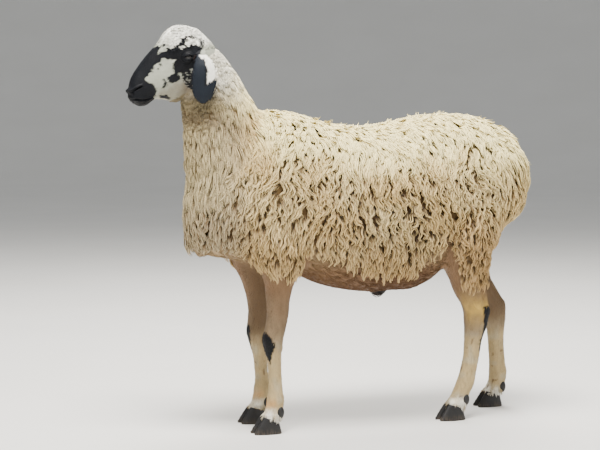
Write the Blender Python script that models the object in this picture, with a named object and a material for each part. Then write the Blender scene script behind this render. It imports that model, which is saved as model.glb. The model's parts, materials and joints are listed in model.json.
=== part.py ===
"""A fat-rumped Hissar ram standing square with its head up, at life size.

Metres, +Z up. The ram faces -X, its left side is at -Y, and its feet stand on Z = 0.
The body is modelled whole, from slices along the trunk, the neck, the head and each leg,
and is then parted with thin cuts into head, neck, torso, tail and legs.
Eyes, ears, claws, dewclaws, sheath and scrotum are pieces of their own.
"""

import math
from collections import namedtuple

import bmesh
import bpy
import numpy as np
from mathutils import Matrix, Vector
from mathutils.bvhtree import BVHTree

# Driving dimensions
GAP = 0.0003
CENTRE_X = 0.112  # the sizes below count from a point under the withers; the origin is here
FLEECE_CORE = 0.020
SEED = 11

# The trunk: each slice has its place along X, its lowest and highest point, its half width,
# the height where it is widest, and the share of the fleece that it carries.
Slice = namedtuple("Slice", "x low high half wide coat")
TRUNK = (
    Slice(-0.330, 0.590, 0.640, 0.020, 0.615, 0.0),
    Slice(-0.318, 0.524, 0.720, 0.066, 0.620, 0.6),
    Slice(-0.282, 0.503, 0.790, 0.110, 0.635, 1.0),
    Slice(-0.220, 0.490, 0.860, 0.148, 0.650, 1.0),
    Slice(-0.120, 0.462, 0.914, 0.176, 0.650, 1.0),
    Slice(-0.030, 0.446, 0.903, 0.194, 0.645, 1.0),
    Slice(0.060, 0.408, 0.878, 0.207, 0.635, 1.0),
    Slice(0.180, 0.384, 0.865, 0.214, 0.625, 1.0),
    Slice(0.300, 0.383, 0.880, 0.212, 0.625, 1.0),
    Slice(0.385, 0.408, 0.896, 0.205, 0.640, 1.0),
    Slice(0.440, 0.458, 0.900, 0.200, 0.655, 1.0),
    Slice(0.520, 0.480, 0.896, 0.192, 0.670, 1.0),
    Slice(0.600, 0.560, 0.868, 0.166, 0.700, 1.0),
    Slice(0.655, 0.630, 0.815, 0.105, 0.710, 0.6),
    Slice(0.672, 0.690, 0.740, 0.020, 0.712, 0.0),
)

# The neck: level slices, each with its height, front and back edge, and half width.
Level = namedtuple("Level", "z front back half coat")
NECK = (
    Level(0.560, -0.300, -0.060, 0.060, 0.0),
    Level(0.600, -0.322, -0.020, 0.115, 1.0),
    Level(0.700, -0.340, -0.040, 0.123, 1.0),
    Level(0.780, -0.350, -0.066, 0.118, 1.0),
    Level(0.850, -0.352, -0.100, 0.104, 0.8),
    Level(0.910, -0.358, -0.134, 0.090, 0.5),
    Level(0.960, -0.362, -0.166, 0.079, 0.5),
    Level(1.010, -0.350, -0.196, 0.070, 0.5),
    Level(1.050, -0.330, -0.226, 0.062, 0.4),
    Level(1.085, -0.315, -0.262, 0.040, 0.2),
)

# The head, in its own frame: distance forward of the ears, top, bottom, half width and
# the height where it is widest.
HEAD_AT = Vector((-0.300, 0.0, 1.067))
HEAD_PITCH = math.radians(32.7)
HEAD_YAW = math.radians(10.0)
Face = namedtuple("Face", "s top low half wide")
HEAD = (
    Face(-0.040, 0.010, -0.030, 0.015, -0.010),
    Face(-0.030, 0.045, -0.055, 0.044, -0.005),
    Face(-0.008, 0.075, -0.074, 0.060, 0.000),
    Face(0.016, 0.093, -0.082, 0.066, 0.006),
    Face(0.040, 0.099, -0.086, 0.0665, 0.012),
    Face(0.062, 0.095, -0.087, 0.060, 0.012),
    Face(0.084, 0.086, -0.086, 0.052, 0.006),
    Face(0.110, 0.079, -0.084, 0.046, 0.000),
    Face(0.138, 0.071, -0.074, 0.041, 0.000),
    Face(0.158, 0.064, -0.056, 0.037, 0.002),
    Face(0.175, 0.057, -0.044, 0.0345, 0.004),
    Face(0.196, 0.047, -0.042, 0.0345, 0.002),
    Face(0.212, 0.035, -0.040, 0.034, -0.002),
    Face(0.226, 0.019, -0.033, 0.028, -0.004),
    Face(0.2355, 0.006, -0.018, 0.014, -0.005),
)
EYE_S, EYE_SIDE, EYE_T, EYE_RADIUS = 0.0435, 0.0560, 0.0095, 0.0140
LID_THICK, LID_OPEN_LONG, LID_OPEN_TALL, LID_TILT = 0.0028, 0.0118, 0.0062, math.radians(27.0)
BROW_AT, BROW_RADII = (0.0400, 0.0490, 0.0250), (0.0230, 0.0120, 0.0070)
NOSTRIL_AT, NOSTRIL_YAW, NOSTRIL_TILT = (0.2070, 0.0290, 0.0085), math.radians(24.0), math.radians(6.0)
NOSTRIL_HOLE, NOSTRIL_RIM = (0.0135, 0.0085, 0.0028), (0.0165, 0.0060, 0.0062)
MOUTH = ((0.1790, -0.0330), (0.1890, -0.0318), (0.2000, -0.0285), (0.2120, -0.0225), (0.2235, -0.0130))
MOUTH_GROOVE, MOUTH_DEEP, LIP_RADIUS = 0.0012, 0.0055, 0.0036
EAR_ROOT, EAR_THICK, EAR_CUP = (0.008, 0.046, 0.003), 0.0055, 0.011

# The ear hangs from its root: how far down, its front and back edge, and how far out.
Hang = namedtuple("Hang", "drop front back out")
EAR = (
    Hang(-0.014, -0.006, 0.006, -0.006),
    Hang(-0.004, -0.008, 0.012, 0.014),
    Hang(0.010, -0.0130, 0.019, 0.030),
    Hang(0.030, -0.0200, 0.033, 0.041),
    Hang(0.060, -0.0260, 0.041, 0.046),
    Hang(0.095, -0.0290, 0.0415, 0.047),
    Hang(0.120, -0.0235, 0.033, 0.046),
    Hang(0.134, -0.0120, 0.021, 0.044),
    Hang(0.141, -0.0020, 0.010, 0.043),
)

# Each leg: level slices with the height, the middle fore and aft, half the depth and
# half the width, given for the left leg. The other leg of the pair has its own middles.
Shank = namedtuple("Shank", "z left right deep half aside")
FORELEG = (
    Shank(0.600, -0.130, -0.130, 0.060, 0.050, 0.100),
    Shank(0.520, -0.110, -0.115, 0.070, 0.055, 0.100),
    Shank(0.460, -0.098, -0.108, 0.058, 0.048, 0.096),
    Shank(0.420, -0.100, -0.104, 0.042, 0.038, 0.092),
    Shank(0.380, -0.103, -0.098, 0.0345, 0.034, 0.090),
    Shank(0.330, -0.104, -0.094, 0.0312, 0.030, 0.088),
    Shank(0.295, -0.110, -0.097, 0.0300, 0.029, 0.087),
    Shank(0.265, -0.1165, -0.100, 0.0295, 0.029, 0.086),
    Shank(0.235, -0.117, -0.098, 0.0255, 0.025, 0.086),
    Shank(0.205, -0.1135, -0.093, 0.0212, 0.021, 0.086),
    Shank(0.160, -0.111, -0.088, 0.0198, 0.019, 0.086),
    Shank(0.120, -0.109, -0.085, 0.0210, 0.0205, 0.086),
    Shank(0.092, -0.109, -0.085, 0.0250, 0.0245, 0.086),
    Shank(0.070, -0.114, -0.090, 0.0238, 0.0240, 0.086),
    Shank(0.052, -0.121, -0.097, 0.0225, 0.0235, 0.086),
    Shank(0.0415, -0.1265, -0.1025, 0.0232, 0.0250, 0.086),
)
HINDLEG = (
    Shank(0.640, 0.495, 0.520, 0.080, 0.070, 0.105),
    Shank(0.560, 0.478, 0.535, 0.085, 0.078, 0.108),
    Shank(0.500, 0.468, 0.548, 0.076, 0.070, 0.108),
    Shank(0.450, 0.474, 0.572, 0.064, 0.058, 0.106),
    Shank(0.420, 0.484, 0.592, 0.056, 0.050, 0.102),
    Shank(0.375, 0.498, 0.626, 0.0490, 0.040, 0.096),
    Shank(0.335, 0.516, 0.657, 0.0415, 0.0325, 0.091),
    Shank(0.310, 0.522, 0.671, 0.0395, 0.0300, 0.088),
    Shank(0.280, 0.522, 0.676, 0.0365, 0.0280, 0.086),
    Shank(0.235, 0.514, 0.680, 0.0280, 0.0235, 0.085),
    Shank(0.185, 0.508, 0.682, 0.0250, 0.0210, 0.085),
    Shank(0.140, 0.498, 0.686, 0.0255, 0.0210, 0.085),
    Shank(0.100, 0.486, 0.689, 0.0280, 0.0245, 0.085),
    Shank(0.074, 0.472, 0.684, 0.0262, 0.0240, 0.085),
    Shank(0.055, 0.460, 0.674, 0.0245, 0.0240, 0.085),
    Shank(0.0415, 0.4515, 0.6655, 0.0240, 0.0255, 0.085),
)
LEG_ROUND = 2.2

# A foot: two claws under the coronet, which slopes down to the heel, and two dewclaws.
CORONET_RISE = 0.30
CLAW_TOE, CLAW_HEEL, CLAW_HALF, CLAW_CLEFT = 0.056, 0.030, 0.0142, 0.0035
CLAW_TOP_HALF, CLAW_TOP_FRONT, CLAW_TOP_BACK = 0.0115, 0.0225, 0.0225
DEWCLAW_Z, DEWCLAW_LONG, DEWCLAW_WIDE, DEWCLAW_ASIDE = 0.064, 0.032, 0.0105, 0.0130

# The fat tail: two round lobes side by side.
LOBE_AT, LOBE_RADII = (0.570, 0.082, 0.705), (0.122, 0.112, 0.140)

# Where the body is parted: two ends of each cut in the XZ plane, and its span in Y.
Cut = namedtuple("Cut", "start end left right")
CUTS = {
    "head": Cut((-0.385, 0.877), (-0.238, 1.122), -0.20, 0.20),
    "neck": Cut((-0.400, 0.585), (-0.085, 0.961), -0.25, 0.25),
    "tail": Cut((0.646, 0.535), (0.596, 0.960), -0.30, 0.30),
    "foreleg_left": Cut((-0.200, 0.440), (-0.036, 0.440), -0.26, -0.004),
    "foreleg_right": Cut((-0.200, 0.440), (-0.036, 0.440), 0.004, 0.26),
    "hindleg_left": Cut((0.380, 0.400), (0.720, 0.496), -0.28, -0.004),
    "hindleg_right": Cut((0.380, 0.400), (0.720, 0.496), 0.004, 0.28),
}
SEEDS = {
    "head": (-0.43, 0.02, 0.98),
    "neck": (-0.27, 0.0, 0.83),
    "torso": (0.15, 0.0, 0.62),
    "tail": (0.68, 0.0, 0.70),
    "foreleg_left": (-0.11, -0.09, 0.20),
    "foreleg_right": (-0.09, 0.09, 0.20),
    "hindleg_left": (0.51, -0.09, 0.20),
    "hindleg_right": (0.68, 0.09, 0.20),
}
SHEATH_AT, SHEATH_RADII = (0.244, 0.0, 0.386), (0.026, 0.020, 0.026)
SCROTUM_AT, SCROTUM_RADII = (0.560, 0.0, 0.420), (0.036, 0.038, 0.062)

# The fleece: clumps set close over the core, each tapering to a lifted tip. Rings of a clump:
# the share of its length, and the height above the core of crown, edge and underside, and
# the share of its half width.
Ring = namedtuple("Ring", "along crown edge under wide")
CLUMP = (
    Ring(0.22, 0.0130, -0.0060, -0.0120, 0.80),
    Ring(0.58, 0.0210, 0.0015, -0.0060, 1.00),
    Ring(0.84, 0.0200, 0.0080, 0.0020, 0.62),
)
CLUMP_ROOT, CLUMP_TIP = -0.0140, 0.0150
Coat = namedtuple("Coat", "length half across along bend back rise")
COATS = {
    "body": Coat(0.170, 0.048, 0.074, 0.114, 0.022, 0.28, 1.0),
    "neck": Coat(0.160, 0.036, 0.057, 0.106, 0.014, 0.06, 0.9),
    "tail": Coat(0.140, 0.046, 0.070, 0.098, 0.018, 0.00, 1.0),
    "limb": Coat(0.085, 0.036, 0.060, 0.064, 0.010, 0.05, 0.55),
}
CANDIDATES = 9000

# The lower edge of the fleece on the body, as X and Z: below it the hair is short.
FLEECE_EDGE = (
    (-0.360, 0.500), (-0.250, 0.500), (-0.180, 0.480), (-0.140, 0.440), (-0.060, 0.430),
    (-0.030, 0.480), (0.080, 0.470), (0.200, 0.445), (0.300, 0.470), (0.400, 0.520),
    (0.440, 0.500), (0.470, 0.440), (0.620, 0.450), (0.800, 0.560),
)

# Finishes: colour, roughness
WOOL = ((0.72, 0.64, 0.48), 0.95)
HAIR = ((0.66, 0.59, 0.47), 0.85)
DARK = ((0.02, 0.02, 0.025), 0.55)
HORN = ((0.03, 0.03, 0.035), 0.45)
EYE = ((0.05, 0.03, 0.01), 0.10)
SKIN = ((0.40, 0.30, 0.24), 0.80)


def clear_scene():
    for obj in list(bpy.data.objects):
        bpy.data.objects.remove(obj, do_unlink=True)


def new_object(name, points, faces):
    """A mesh object from points and faces, with its faces turned outwards."""
    mesh = bpy.data.meshes.new(name)
    mesh.from_pydata([tuple(p) for p in points], [], faces)
    shape = bmesh.new()
    shape.from_mesh(mesh)
    bmesh.ops.remove_doubles(shape, verts=shape.verts, dist=1e-6)
    bmesh.ops.recalc_face_normals(shape, faces=shape.faces)
    shape.to_mesh(mesh)
    shape.free()
    obj = bpy.data.objects.new(name, mesh)
    bpy.context.scene.collection.objects.link(obj)
    return obj


def swollen(name, points, faces, by=GAP * 2):
    """A cutter for the room around a piece: the piece, grown along its normals."""
    obj = new_object(name, points, faces)
    for vertex, normal in zip(obj.data.vertices, [v.normal.copy() for v in obj.data.vertices]):
        vertex.co += normal * by
    return obj


def eased(rows, count):
    """count rows on a smooth curve through the given rows, spaced by the first column."""
    table = np.array(rows, float)
    at = table[:, 0]
    slope = np.gradient(table, at, axis=0)
    steps = np.diff(table, axis=0)
    flat = np.sign(steps[:-1]) != np.sign(steps[1:])
    slope[1:-1][flat] = 0.0
    ease = np.linspace(0, 1, count)
    wanted = at[0] + (at[-1] - at[0]) * ease
    k = np.clip(np.searchsorted(at, wanted, side="right") - 1, 0, len(at) - 2)
    span = (at[k + 1] - at[k])[:, None]
    t = (wanted[:, None] - at[k][:, None]) / span
    a, b = table[k], table[k + 1]
    m, n = slope[k] * span, slope[k + 1] * span
    h = t * t * (3 - 2 * t)
    return a * (1 - h) + b * h + m * t * (1 - t) ** 2 - n * t * t * (1 - t)


def powered(value, roundness):
    """A cosine or sine bent towards a box as roundness grows past 2."""
    return np.sign(value) * np.abs(value) ** (2.0 / roundness)


def skin_grid(rings):
    """Points and faces of a closed surface through rings of equal length, with pole ends."""
    count, sides = rings.shape[:2]
    points = np.concatenate([rings.reshape(-1, 3), [rings[0].mean(0)], [rings[-1].mean(0)]])
    faces = []
    for i in range(count - 1):
        for j in range(sides):
            k = (j + 1) % sides
            faces.append((i * sides + j, i * sides + k, (i + 1) * sides + k, (i + 1) * sides + j))
    first, last = count * sides, count * sides + 1
    for j in range(sides):
        k = (j + 1) % sides
        faces.append((first, k, j))
        faces.append((last, (count - 1) * sides + j, (count - 1) * sides + k))
    return points, faces


def trunk_rings(grow=0.0, core=FLEECE_CORE, count=20, sides=20):
    """Upright rings along the trunk, inset by the fleece's core depth on back and sides."""
    rows = eased(TRUNK, count)
    turn = 2 * math.pi * np.arange(sides) / sides
    c, s = powered(np.cos(turn), 2.25), powered(np.sin(turn), 2.25)
    x, low, high, half, wide, coat = (rows[:, i : i + 1] for i in range(6))
    inset = core * coat - grow
    rise = np.where(s > 0, high - inset - wide, wide - low + grow)
    return np.stack([x + 0 * c, (half - inset) * c, wide + rise * s], axis=2)


def neck_rings(grow=0.0, core=FLEECE_CORE, count=11, sides=16):
    """Level rings up the neck."""
    rows = eased(NECK, count)
    turn = 2 * math.pi * np.arange(sides) / sides
    c, s = powered(np.cos(turn), 2.1), powered(np.sin(turn), 2.1)
    z, front, back, half, coat = (rows[:, i : i + 1] for i in range(5))
    inset = core * coat - grow
    middle, deep = (front + back) / 2, (back - front) / 2 - inset
    return np.stack([middle + deep * c, (half - inset) * s, z + 0 * c], axis=2)


def leg_rings(leg, side, grow=0.0, count=21, sides=12):
    """Level rings down a leg; side is -1 for left and 1 for right. The last ring slopes."""
    table = [(r.z, r.left if side < 0 else r.right, r.deep, r.half, r.aside) for r in leg]
    rows = eased(table[::-1], count)
    turn = 2 * math.pi * np.arange(sides) / sides
    c, s = powered(np.cos(turn), LEG_ROUND), powered(np.sin(turn), LEG_ROUND)
    z, middle, deep, half, aside = (rows[:, i : i + 1] for i in range(5))
    x = middle + (deep + grow) * c
    slope = CORONET_RISE * np.clip(1 - (z - z[0]) / 0.03, 0, 1)
    return np.stack([x, side * aside + (half + grow) * s, z - slope * (x - middle)], axis=2)


def head_matrix():
    """Turns the head's frame, nose at -X, into the ram's."""
    turn = Matrix.Rotation(-HEAD_YAW, 4, "Z") @ Matrix.Rotation(-HEAD_PITCH, 4, "Y")
    return Matrix.Translation(HEAD_AT) @ turn


def placed(points, matrix):
    turn = np.array(matrix, float)
    return np.asarray(points, float) @ turn[:3, :3].T + turn[:3, 3]


def head_local_rings(grow=0.0, count=26, sides=24):
    """Rings along the head, from behind the ears to the nose, in its own frame."""
    rows = eased(HEAD, count)
    turn = 2 * math.pi * np.arange(sides) / sides
    c, s = powered(np.cos(turn), 2.3), powered(np.sin(turn), 2.15)
    at, top, low, half, wide = (rows[:, i : i + 1] for i in range(5))
    rise = np.where(s > 0, top - wide, wide - low) + grow
    return np.stack([-at + 0 * c, (half + grow) * c, wide + rise * s], axis=2)


def head_rings(grow=0.0):
    """The same rings in the ram's frame."""
    rings = head_local_rings(grow)
    return placed(rings.reshape(-1, 3), head_matrix()).reshape(rings.shape)


def ball(name, centre, radii, matrix=None, rows=10, sides=14):
    """An ellipsoid, turned by matrix about the origin of the frame it is given in."""
    lift = np.linspace(-math.pi / 2, math.pi / 2, rows + 2)[1:-1, None]
    turn = 2 * math.pi * np.arange(sides) / sides
    shape = np.stack(
        [np.cos(lift) * np.cos(turn), np.cos(lift) * np.sin(turn), np.sin(lift) + 0 * turn], axis=2
    )
    points, faces = skin_grid(shape)
    points[-2:] = ((0, 0, -1), (0, 0, 1))
    points = points * np.array(radii) + np.array(centre)
    return new_object(name, placed(points, matrix) if matrix else points, faces)


def combined(base, others, operation, name):
    """base joined with, or cut by, every object in others, which are then removed."""
    group = bpy.data.collections.new(name + "_group")
    bpy.context.scene.collection.children.link(group)
    for other in others:
        group.objects.link(other)
    boolean = base.modifiers.new("combine", "BOOLEAN")
    boolean.operation = operation
    boolean.solver = "MANIFOLD"
    boolean.operand_type = "COLLECTION"
    boolean.collection = group
    bpy.context.view_layer.update()
    graph = bpy.context.evaluated_depsgraph_get()
    mesh = bpy.data.meshes.new_from_object(base.evaluated_get(graph))
    base.modifiers.clear()
    base.data = mesh
    base.name = name
    for other in others:
        bpy.data.objects.remove(other, do_unlink=True)
    bpy.data.collections.remove(group)
    return base


def islands(obj):
    """The closed surfaces of a mesh, largest first, each as points and faces."""
    mesh = obj.data
    points = np.empty(len(mesh.vertices) * 3)
    mesh.vertices.foreach_get("co", points)
    points = points.reshape(-1, 3)
    root = np.arange(len(points))

    def top(i):
        while root[i] != i:
            root[i] = root[root[i]]
            i = root[i]
        return i

    faces = [tuple(p.vertices) for p in mesh.polygons]
    for face in faces:
        for other in face[1:]:
            a, b = top(face[0]), top(other)
            if a != b:
                root[b] = a
    groups = {}
    for face in faces:
        groups.setdefault(top(face[0]), []).append(face)
    found = []
    for members in groups.values():
        used = sorted({i for face in members for i in face})
        place = {old: new for new, old in enumerate(used)}
        shape = points[used]
        size = float(np.prod(np.ptp(shape, axis=0)))
        found.append((size, shape, [tuple(place[i] for i in face) for face in members]))
    return sorted(found, key=lambda item: -item[0])


def largest(obj):
    """Leaves obj with its largest closed surface only."""
    _, points, faces = islands(obj)[0]
    mesh = bpy.data.meshes.new(obj.name)
    mesh.from_pydata([tuple(p) for p in points], [], faces)
    obj.data = mesh
    return obj


def cutter(cut, thick=GAP):
    """A thin slab along a cut."""
    start, end = np.array(cut.start), np.array(cut.end)
    along = (end - start) / np.linalg.norm(end - start)
    across = np.array((-along[1], along[0])) * thick / 2
    corners = [start - across, end - across, end + across, start + across]
    points = [(p[0], y, p[1]) for y in (cut.left, cut.right) for p in corners]
    faces = [(0, 1, 2, 3), (4, 7, 6, 5)] + [
        (i, i + 4, (i + 1) % 4 + 4, (i + 1) % 4) for i in range(4)
    ]
    return new_object("cut", points, faces)


def finish(obj, look, smooth=True):
    """Gives a node its material and shading."""
    colour, rough = look
    material = bpy.data.materials.new(obj.name)
    material.use_nodes = True
    shader = material.node_tree.nodes["Principled BSDF"]
    shader.inputs["Base Color"].default_value = (*colour, 1.0)
    shader.inputs["Roughness"].default_value = rough
    shader.inputs["Metallic"].default_value = 0.0
    obj.data.materials.clear()
    obj.data.materials.append(material)
    if smooth:
        obj.data.shade_smooth()
        obj.data.set_sharp_from_angle(angle=math.radians(35))
    return obj


def body_pieces():
    """Every closed form that the whole body is joined from."""
    forms = [
        ("trunk_form", trunk_rings()),
        ("neck_form", neck_rings()),
        ("head_form", head_rings()),
    ]
    for side, word in ((-1, "left"), (1, "right")):
        forms.append(("foreleg_form_" + word, leg_rings(FORELEG, side)))
        forms.append(("hindleg_form_" + word, leg_rings(HINDLEG, side)))
    pieces = [new_object(name, *skin_grid(rings)) for name, rings in forms]
    for side in (-1, 1):
        x, y, z = LOBE_AT
        radii = [r - FLEECE_CORE for r in LOBE_RADII]
        pieces.append(ball("lobe_form", (x, side * y, z), radii, rows=8, sides=14))
    return pieces


def above_edge(point):
    """How high a point is above the lower edge of the fleece."""
    return point[2] - np.interp(point[0], [e[0] for e in FLEECE_EDGE], [e[1] for e in FLEECE_EDGE])


def fleece_kind(point, normal):
    """Which coat grows at a point of the core, or None where the hair is short."""
    x, y, z = point
    if above_edge(point) < 0.015 or normal.z < -0.75 or (normal.y * y < 0 and z < 0.56):
        return None
    head_side = (Vector(point) - HEAD_AT).dot(Vector((-0.86, 0.0, 0.51)))
    if z > 0.90 and head_side > -0.035 - 0.10 * (z < 0.99):
        return None
    if x < -0.09 and z > 0.60 + 1.1 * (x + 0.36):
        return "neck"
    if x > 0.56 and 0.56 < z < 0.84:
        return "tail"
    if z < 0.53 and (x > 0.40 or -0.17 < x < -0.03):
        return "limb"
    return "body"


def clump_places(core, draw):
    """Evenly spread places on the core where clumps grow: point, normal and kind of coat."""
    mesh = core.data
    mesh.calc_loop_triangles()
    corners = np.array([[mesh.vertices[i].co for i in t.vertices] for t in mesh.loop_triangles])
    cross = np.cross(corners[:, 1] - corners[:, 0], corners[:, 2] - corners[:, 0])
    area = np.linalg.norm(cross, axis=1)
    pick = draw.choice(len(area), CANDIDATES, p=area / area.sum())
    share = draw.dirichlet((1.0, 1.0, 1.0), CANDIDATES)
    points = np.einsum("nk,nkc->nc", share, corners[pick])
    normals = cross[pick] / area[pick][:, None]
    taken = []
    for point, normal in zip(points, normals):
        kind = fleece_kind(point, Vector(normal))
        if kind is None:
            continue
        coat, normal = COATS[kind], Vector(normal)
        lie = lie_of(point, normal, coat)
        room = np.array([lie / coat.along, normal.cross(lie) / coat.across, normal / coat.across])
        if all(np.linalg.norm(room @ (other - point)) > 1 for other, _, _ in taken):
            taken.append((point, normal, kind))
    return taken


def lie_of(point, normal, coat):
    """Down along the surface and a little back, and forwards at the front of the chest."""
    back = -0.30 if point[0] < -0.20 and point[2] < 0.75 else coat.back
    hang = Vector((back, 0.12 * np.sign(point[1]) * (normal.z > 0.8), -1.0))
    lie = hang - normal * hang.dot(normal)
    if lie.length < 0.45:
        lie = lie + Vector((0.25, 0.35 * np.sign(point[1]), 0.0))
        lie = lie - normal * lie.dot(normal)
    return lie.normalized()


def seam_share(start, end):
    """How far along a clump a cut crosses it, or 1 where none does."""
    found = 1.0
    for cut in CUTS.values():
        if not cut.left < start.y < cut.right:
            continue
        a, b = Vector(cut.start), Vector(cut.end)
        p, q = Vector((start.x, start.z)), Vector((end.x, end.z))
        across, step = b - a, q - p
        turn = step.x * across.y - step.y * across.x
        if abs(turn) < 1e-9:
            continue
        t = ((a.x - p.x) * across.y - (a.y - p.y) * across.x) / turn
        u = ((a.x - p.x) * step.y - (a.y - p.y) * step.x) / turn
        if 0 < t < 1 and 0 < u < 1:
            found = min(found, t)
    return found


def clump(place, surface, draw):
    """One clump of fleece: it rises from inside the core, follows it and lifts its tip."""
    point, normal, kind = place
    coat = COATS[kind]
    lie = lie_of(point, normal, coat)
    length = coat.length * draw.uniform(0.85, 1.15) * np.clip(above_edge(point) / 0.11, 0.5, 1.0)
    half = coat.half * draw.uniform(0.88, 1.12)
    bend = coat.bend * draw.uniform(-1.0, 1.0)
    lift = coat.rise * draw.uniform(0.88, 1.08)
    start = Vector(point) - lie * length * 0.25
    met = seam_share(start, start + lie * length)
    if met < 0.30:
        start, length = start + lie * length * met, length * (1 - met)
        met = seam_share(start + lie * 0.02, start + lie * length)
    if 0.55 < met < 1:
        length *= met - 0.02
    beside = normal.cross(lie)

    def spot(share, height, aside):
        flat = start + lie * length * share + beside * (aside + bend * share**2)
        near, facing, _, _ = surface.find_nearest(flat)
        if facing.dot(normal) < 0.35:
            near, facing = flat, normal
        return near + (facing * 0.6 + normal * 0.4).normalized() * height

    points = [spot(0.0, CLUMP_ROOT, 0.0)]
    for ring in CLUMP:
        w = half * ring.wide
        crown = draw.uniform(-0.25, 0.25) * w
        for aside, height in ((-w, ring.edge), (crown, ring.crown * lift), (w, ring.edge), (0.0, ring.under)):
            points.append(spot(ring.along, height, aside))
    points.append(spot(1.0, CLUMP_TIP * lift, 0.0))
    faces = [(0, 1 + (k + 1) % 4, 1 + k) for k in range(4)]
    for r in range(len(CLUMP) - 1):
        for k in range(4):
            a, b = 1 + 4 * r + k, 1 + 4 * r + (k + 1) % 4
            faces += [(a, b, b + 4), (a, b + 4, a + 4)]
    end, last = len(points) - 1, 1 + 4 * (len(CLUMP) - 1)
    faces += [(end, last + k, last + (k + 1) % 4) for k in range(4)]
    return new_object("clump", points, faces)


def make_body():
    """Joins the body and its fleece, parts it with the cuts and names the nodes."""
    pieces = body_pieces()
    core = combined(pieces[0], pieces[1:], "UNION", "core")
    surface = BVHTree.FromObject(core, bpy.context.evaluated_depsgraph_get())
    draw = np.random.default_rng(SEED)
    clumps = [clump(place, surface, draw) for place in clump_places(core, draw)]
    whole = combined(core, clumps, "UNION", "whole")
    whole = largest(whole)
    grown = [swollen("around_ear", *skin_grid(ear_rings(side))) for side in (-1, 1)]
    slabs = [cutter(cut) for cut in CUTS.values()]
    whole = combined(whole, slabs + grown, "DIFFERENCE", "whole")
    found = islands(whole)[: len(SEEDS)]
    bpy.data.objects.remove(whole, do_unlink=True)
    nodes = {}
    for name, seed in SEEDS.items():
        reach = [np.linalg.norm((p.min(0) + p.max(0)) / 2 - seed) for _, p, _ in found]
        _, points, faces = found.pop(int(np.argmin(reach)))
        nodes[name] = new_object(name, points, faces)
    return nodes


def face_frame(at, yaw=0.0, tilt=0.0, side=1):
    """A frame on one side of the head, with its X axis turned out by yaw and up by tilt."""
    s, aside, t = at
    turn = Matrix.Rotation(side * yaw, 4, "Z") @ Matrix.Rotation(tilt, 4, "Y")
    return head_matrix() @ Matrix.Translation((-s, side * aside, t)) @ turn


def mouth_path(side_height=0.0):
    """Points round the muzzle at the mouth line, from one corner to the other, in its frame."""
    rings = head_local_rings()
    half = []
    for s, t in MOUTH:
        ring = rings[int(np.argmin(np.abs(rings[:, 0, 0] + s)))]
        upper = ring[(ring[:, 1] > 0)]
        half.append(float(np.interp(t, *sorted_pair(upper[:, 2], upper[:, 1]))))
    side = [(-s, w, t + side_height) for (s, t), w in zip(MOUTH, half)]
    front = [(-0.2325, 0.0125, -0.0040 + side_height), (-0.2362, 0.0, -0.0020 + side_height)]
    left = [(x, -y, z) for x, y, z in side + front[:1]]
    return left + [front[1]] + [(x, y, z) for x, y, z in front[:1] + side[::-1]]


def sorted_pair(keys, values):
    order = np.argsort(keys)
    return keys[order], values[order]


def tube(name, path, sections, matrix):
    """A tube along a path, with one section of (out, up) offsets at each point."""
    path = np.array(path)
    along = np.gradient(path, axis=0)
    out = np.stack([-along[:, 1], along[:, 0], 0 * along[:, 0]], axis=1)
    out /= np.linalg.norm(out, axis=1)[:, None]
    rings = [p + np.outer(sec[:, 0], o) + np.outer(sec[:, 1], (0, 0, 1))
             for p, o, sec in zip(path, out, sections)]
    points, faces = skin_grid(np.array(rings))
    return new_object(name, placed(points, matrix), faces)


def make_face(head):
    """Adds lips, brows, nostril rims and lids, and cuts the mouth line, nostrils and sockets."""
    frame = head_matrix()
    turn = 2 * math.pi * np.arange(6) / 6
    added, taken = [], []
    for lift in (LIP_RADIUS * 0.95, -LIP_RADIUS * 0.95):
        path = mouth_path(lift)
        ends = np.sin(np.linspace(0, math.pi, len(path))) ** 0.35
        roll = [np.stack([np.cos(turn) * r - 0.0018, np.sin(turn) * r], axis=1)
                for r in LIP_RADIUS * (0.25 + 0.75 * ends)]
        added.append(tube("lip", path, roll, frame))
    path = mouth_path()
    wedge = np.array([(-MOUTH_DEEP, 0.0), (0.008, -2 * MOUTH_GROOVE), (0.008, 2 * MOUTH_GROOVE)])
    taken.append(tube("mouth", path, [wedge] * len(path), frame))
    for side in (-1, 1):
        nostril = face_frame(NOSTRIL_AT, NOSTRIL_YAW, NOSTRIL_TILT, side)
        added.append(ball("rim", (0, 0, 0), NOSTRIL_RIM, nostril, rows=6, sides=10))
        hole = face_frame(NOSTRIL_AT, NOSTRIL_YAW, NOSTRIL_TILT, side)
        hole = hole @ Matrix.Translation((-0.0015, side * 0.0045, 0.0))
        taken.append(ball("nostril", (0, 0, 0), NOSTRIL_HOLE, hole, rows=6, sides=10))
        brow = face_frame(BROW_AT, 0.0, LID_TILT, side)
        added.append(ball("brow", (0, 0, 0), BROW_RADII, brow, rows=6, sides=10))
        eye = face_frame((EYE_S, EYE_SIDE, EYE_T), 0.0, LID_TILT, side)
        radius = EYE_RADIUS + LID_THICK
        added.append(ball("lid", (0, 0, 0), [radius] * 3, eye, rows=9, sides=14))
        taken.append(ball("socket", (0, 0, 0), [EYE_RADIUS + GAP] * 3, eye, rows=8, sides=12))
        slit = (LID_OPEN_LONG, 0.012, LID_OPEN_TALL)
        taken.append(ball("slit", (0, side * 0.0150, 0), slit, eye, rows=7, sides=12))
        ball_piece = ball(
            "eye_left" if side < 0 else "eye_right", (0, 0, 0), [EYE_RADIUS] * 3, eye, 8, 12
        )
        finish(ball_piece, EYE)
        taken.append(swollen("around_ear", *skin_grid(ear_rings(side))))
    head = combined(head, added, "UNION", "head")
    return largest(combined(head, taken, "DIFFERENCE", "head"))


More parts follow.
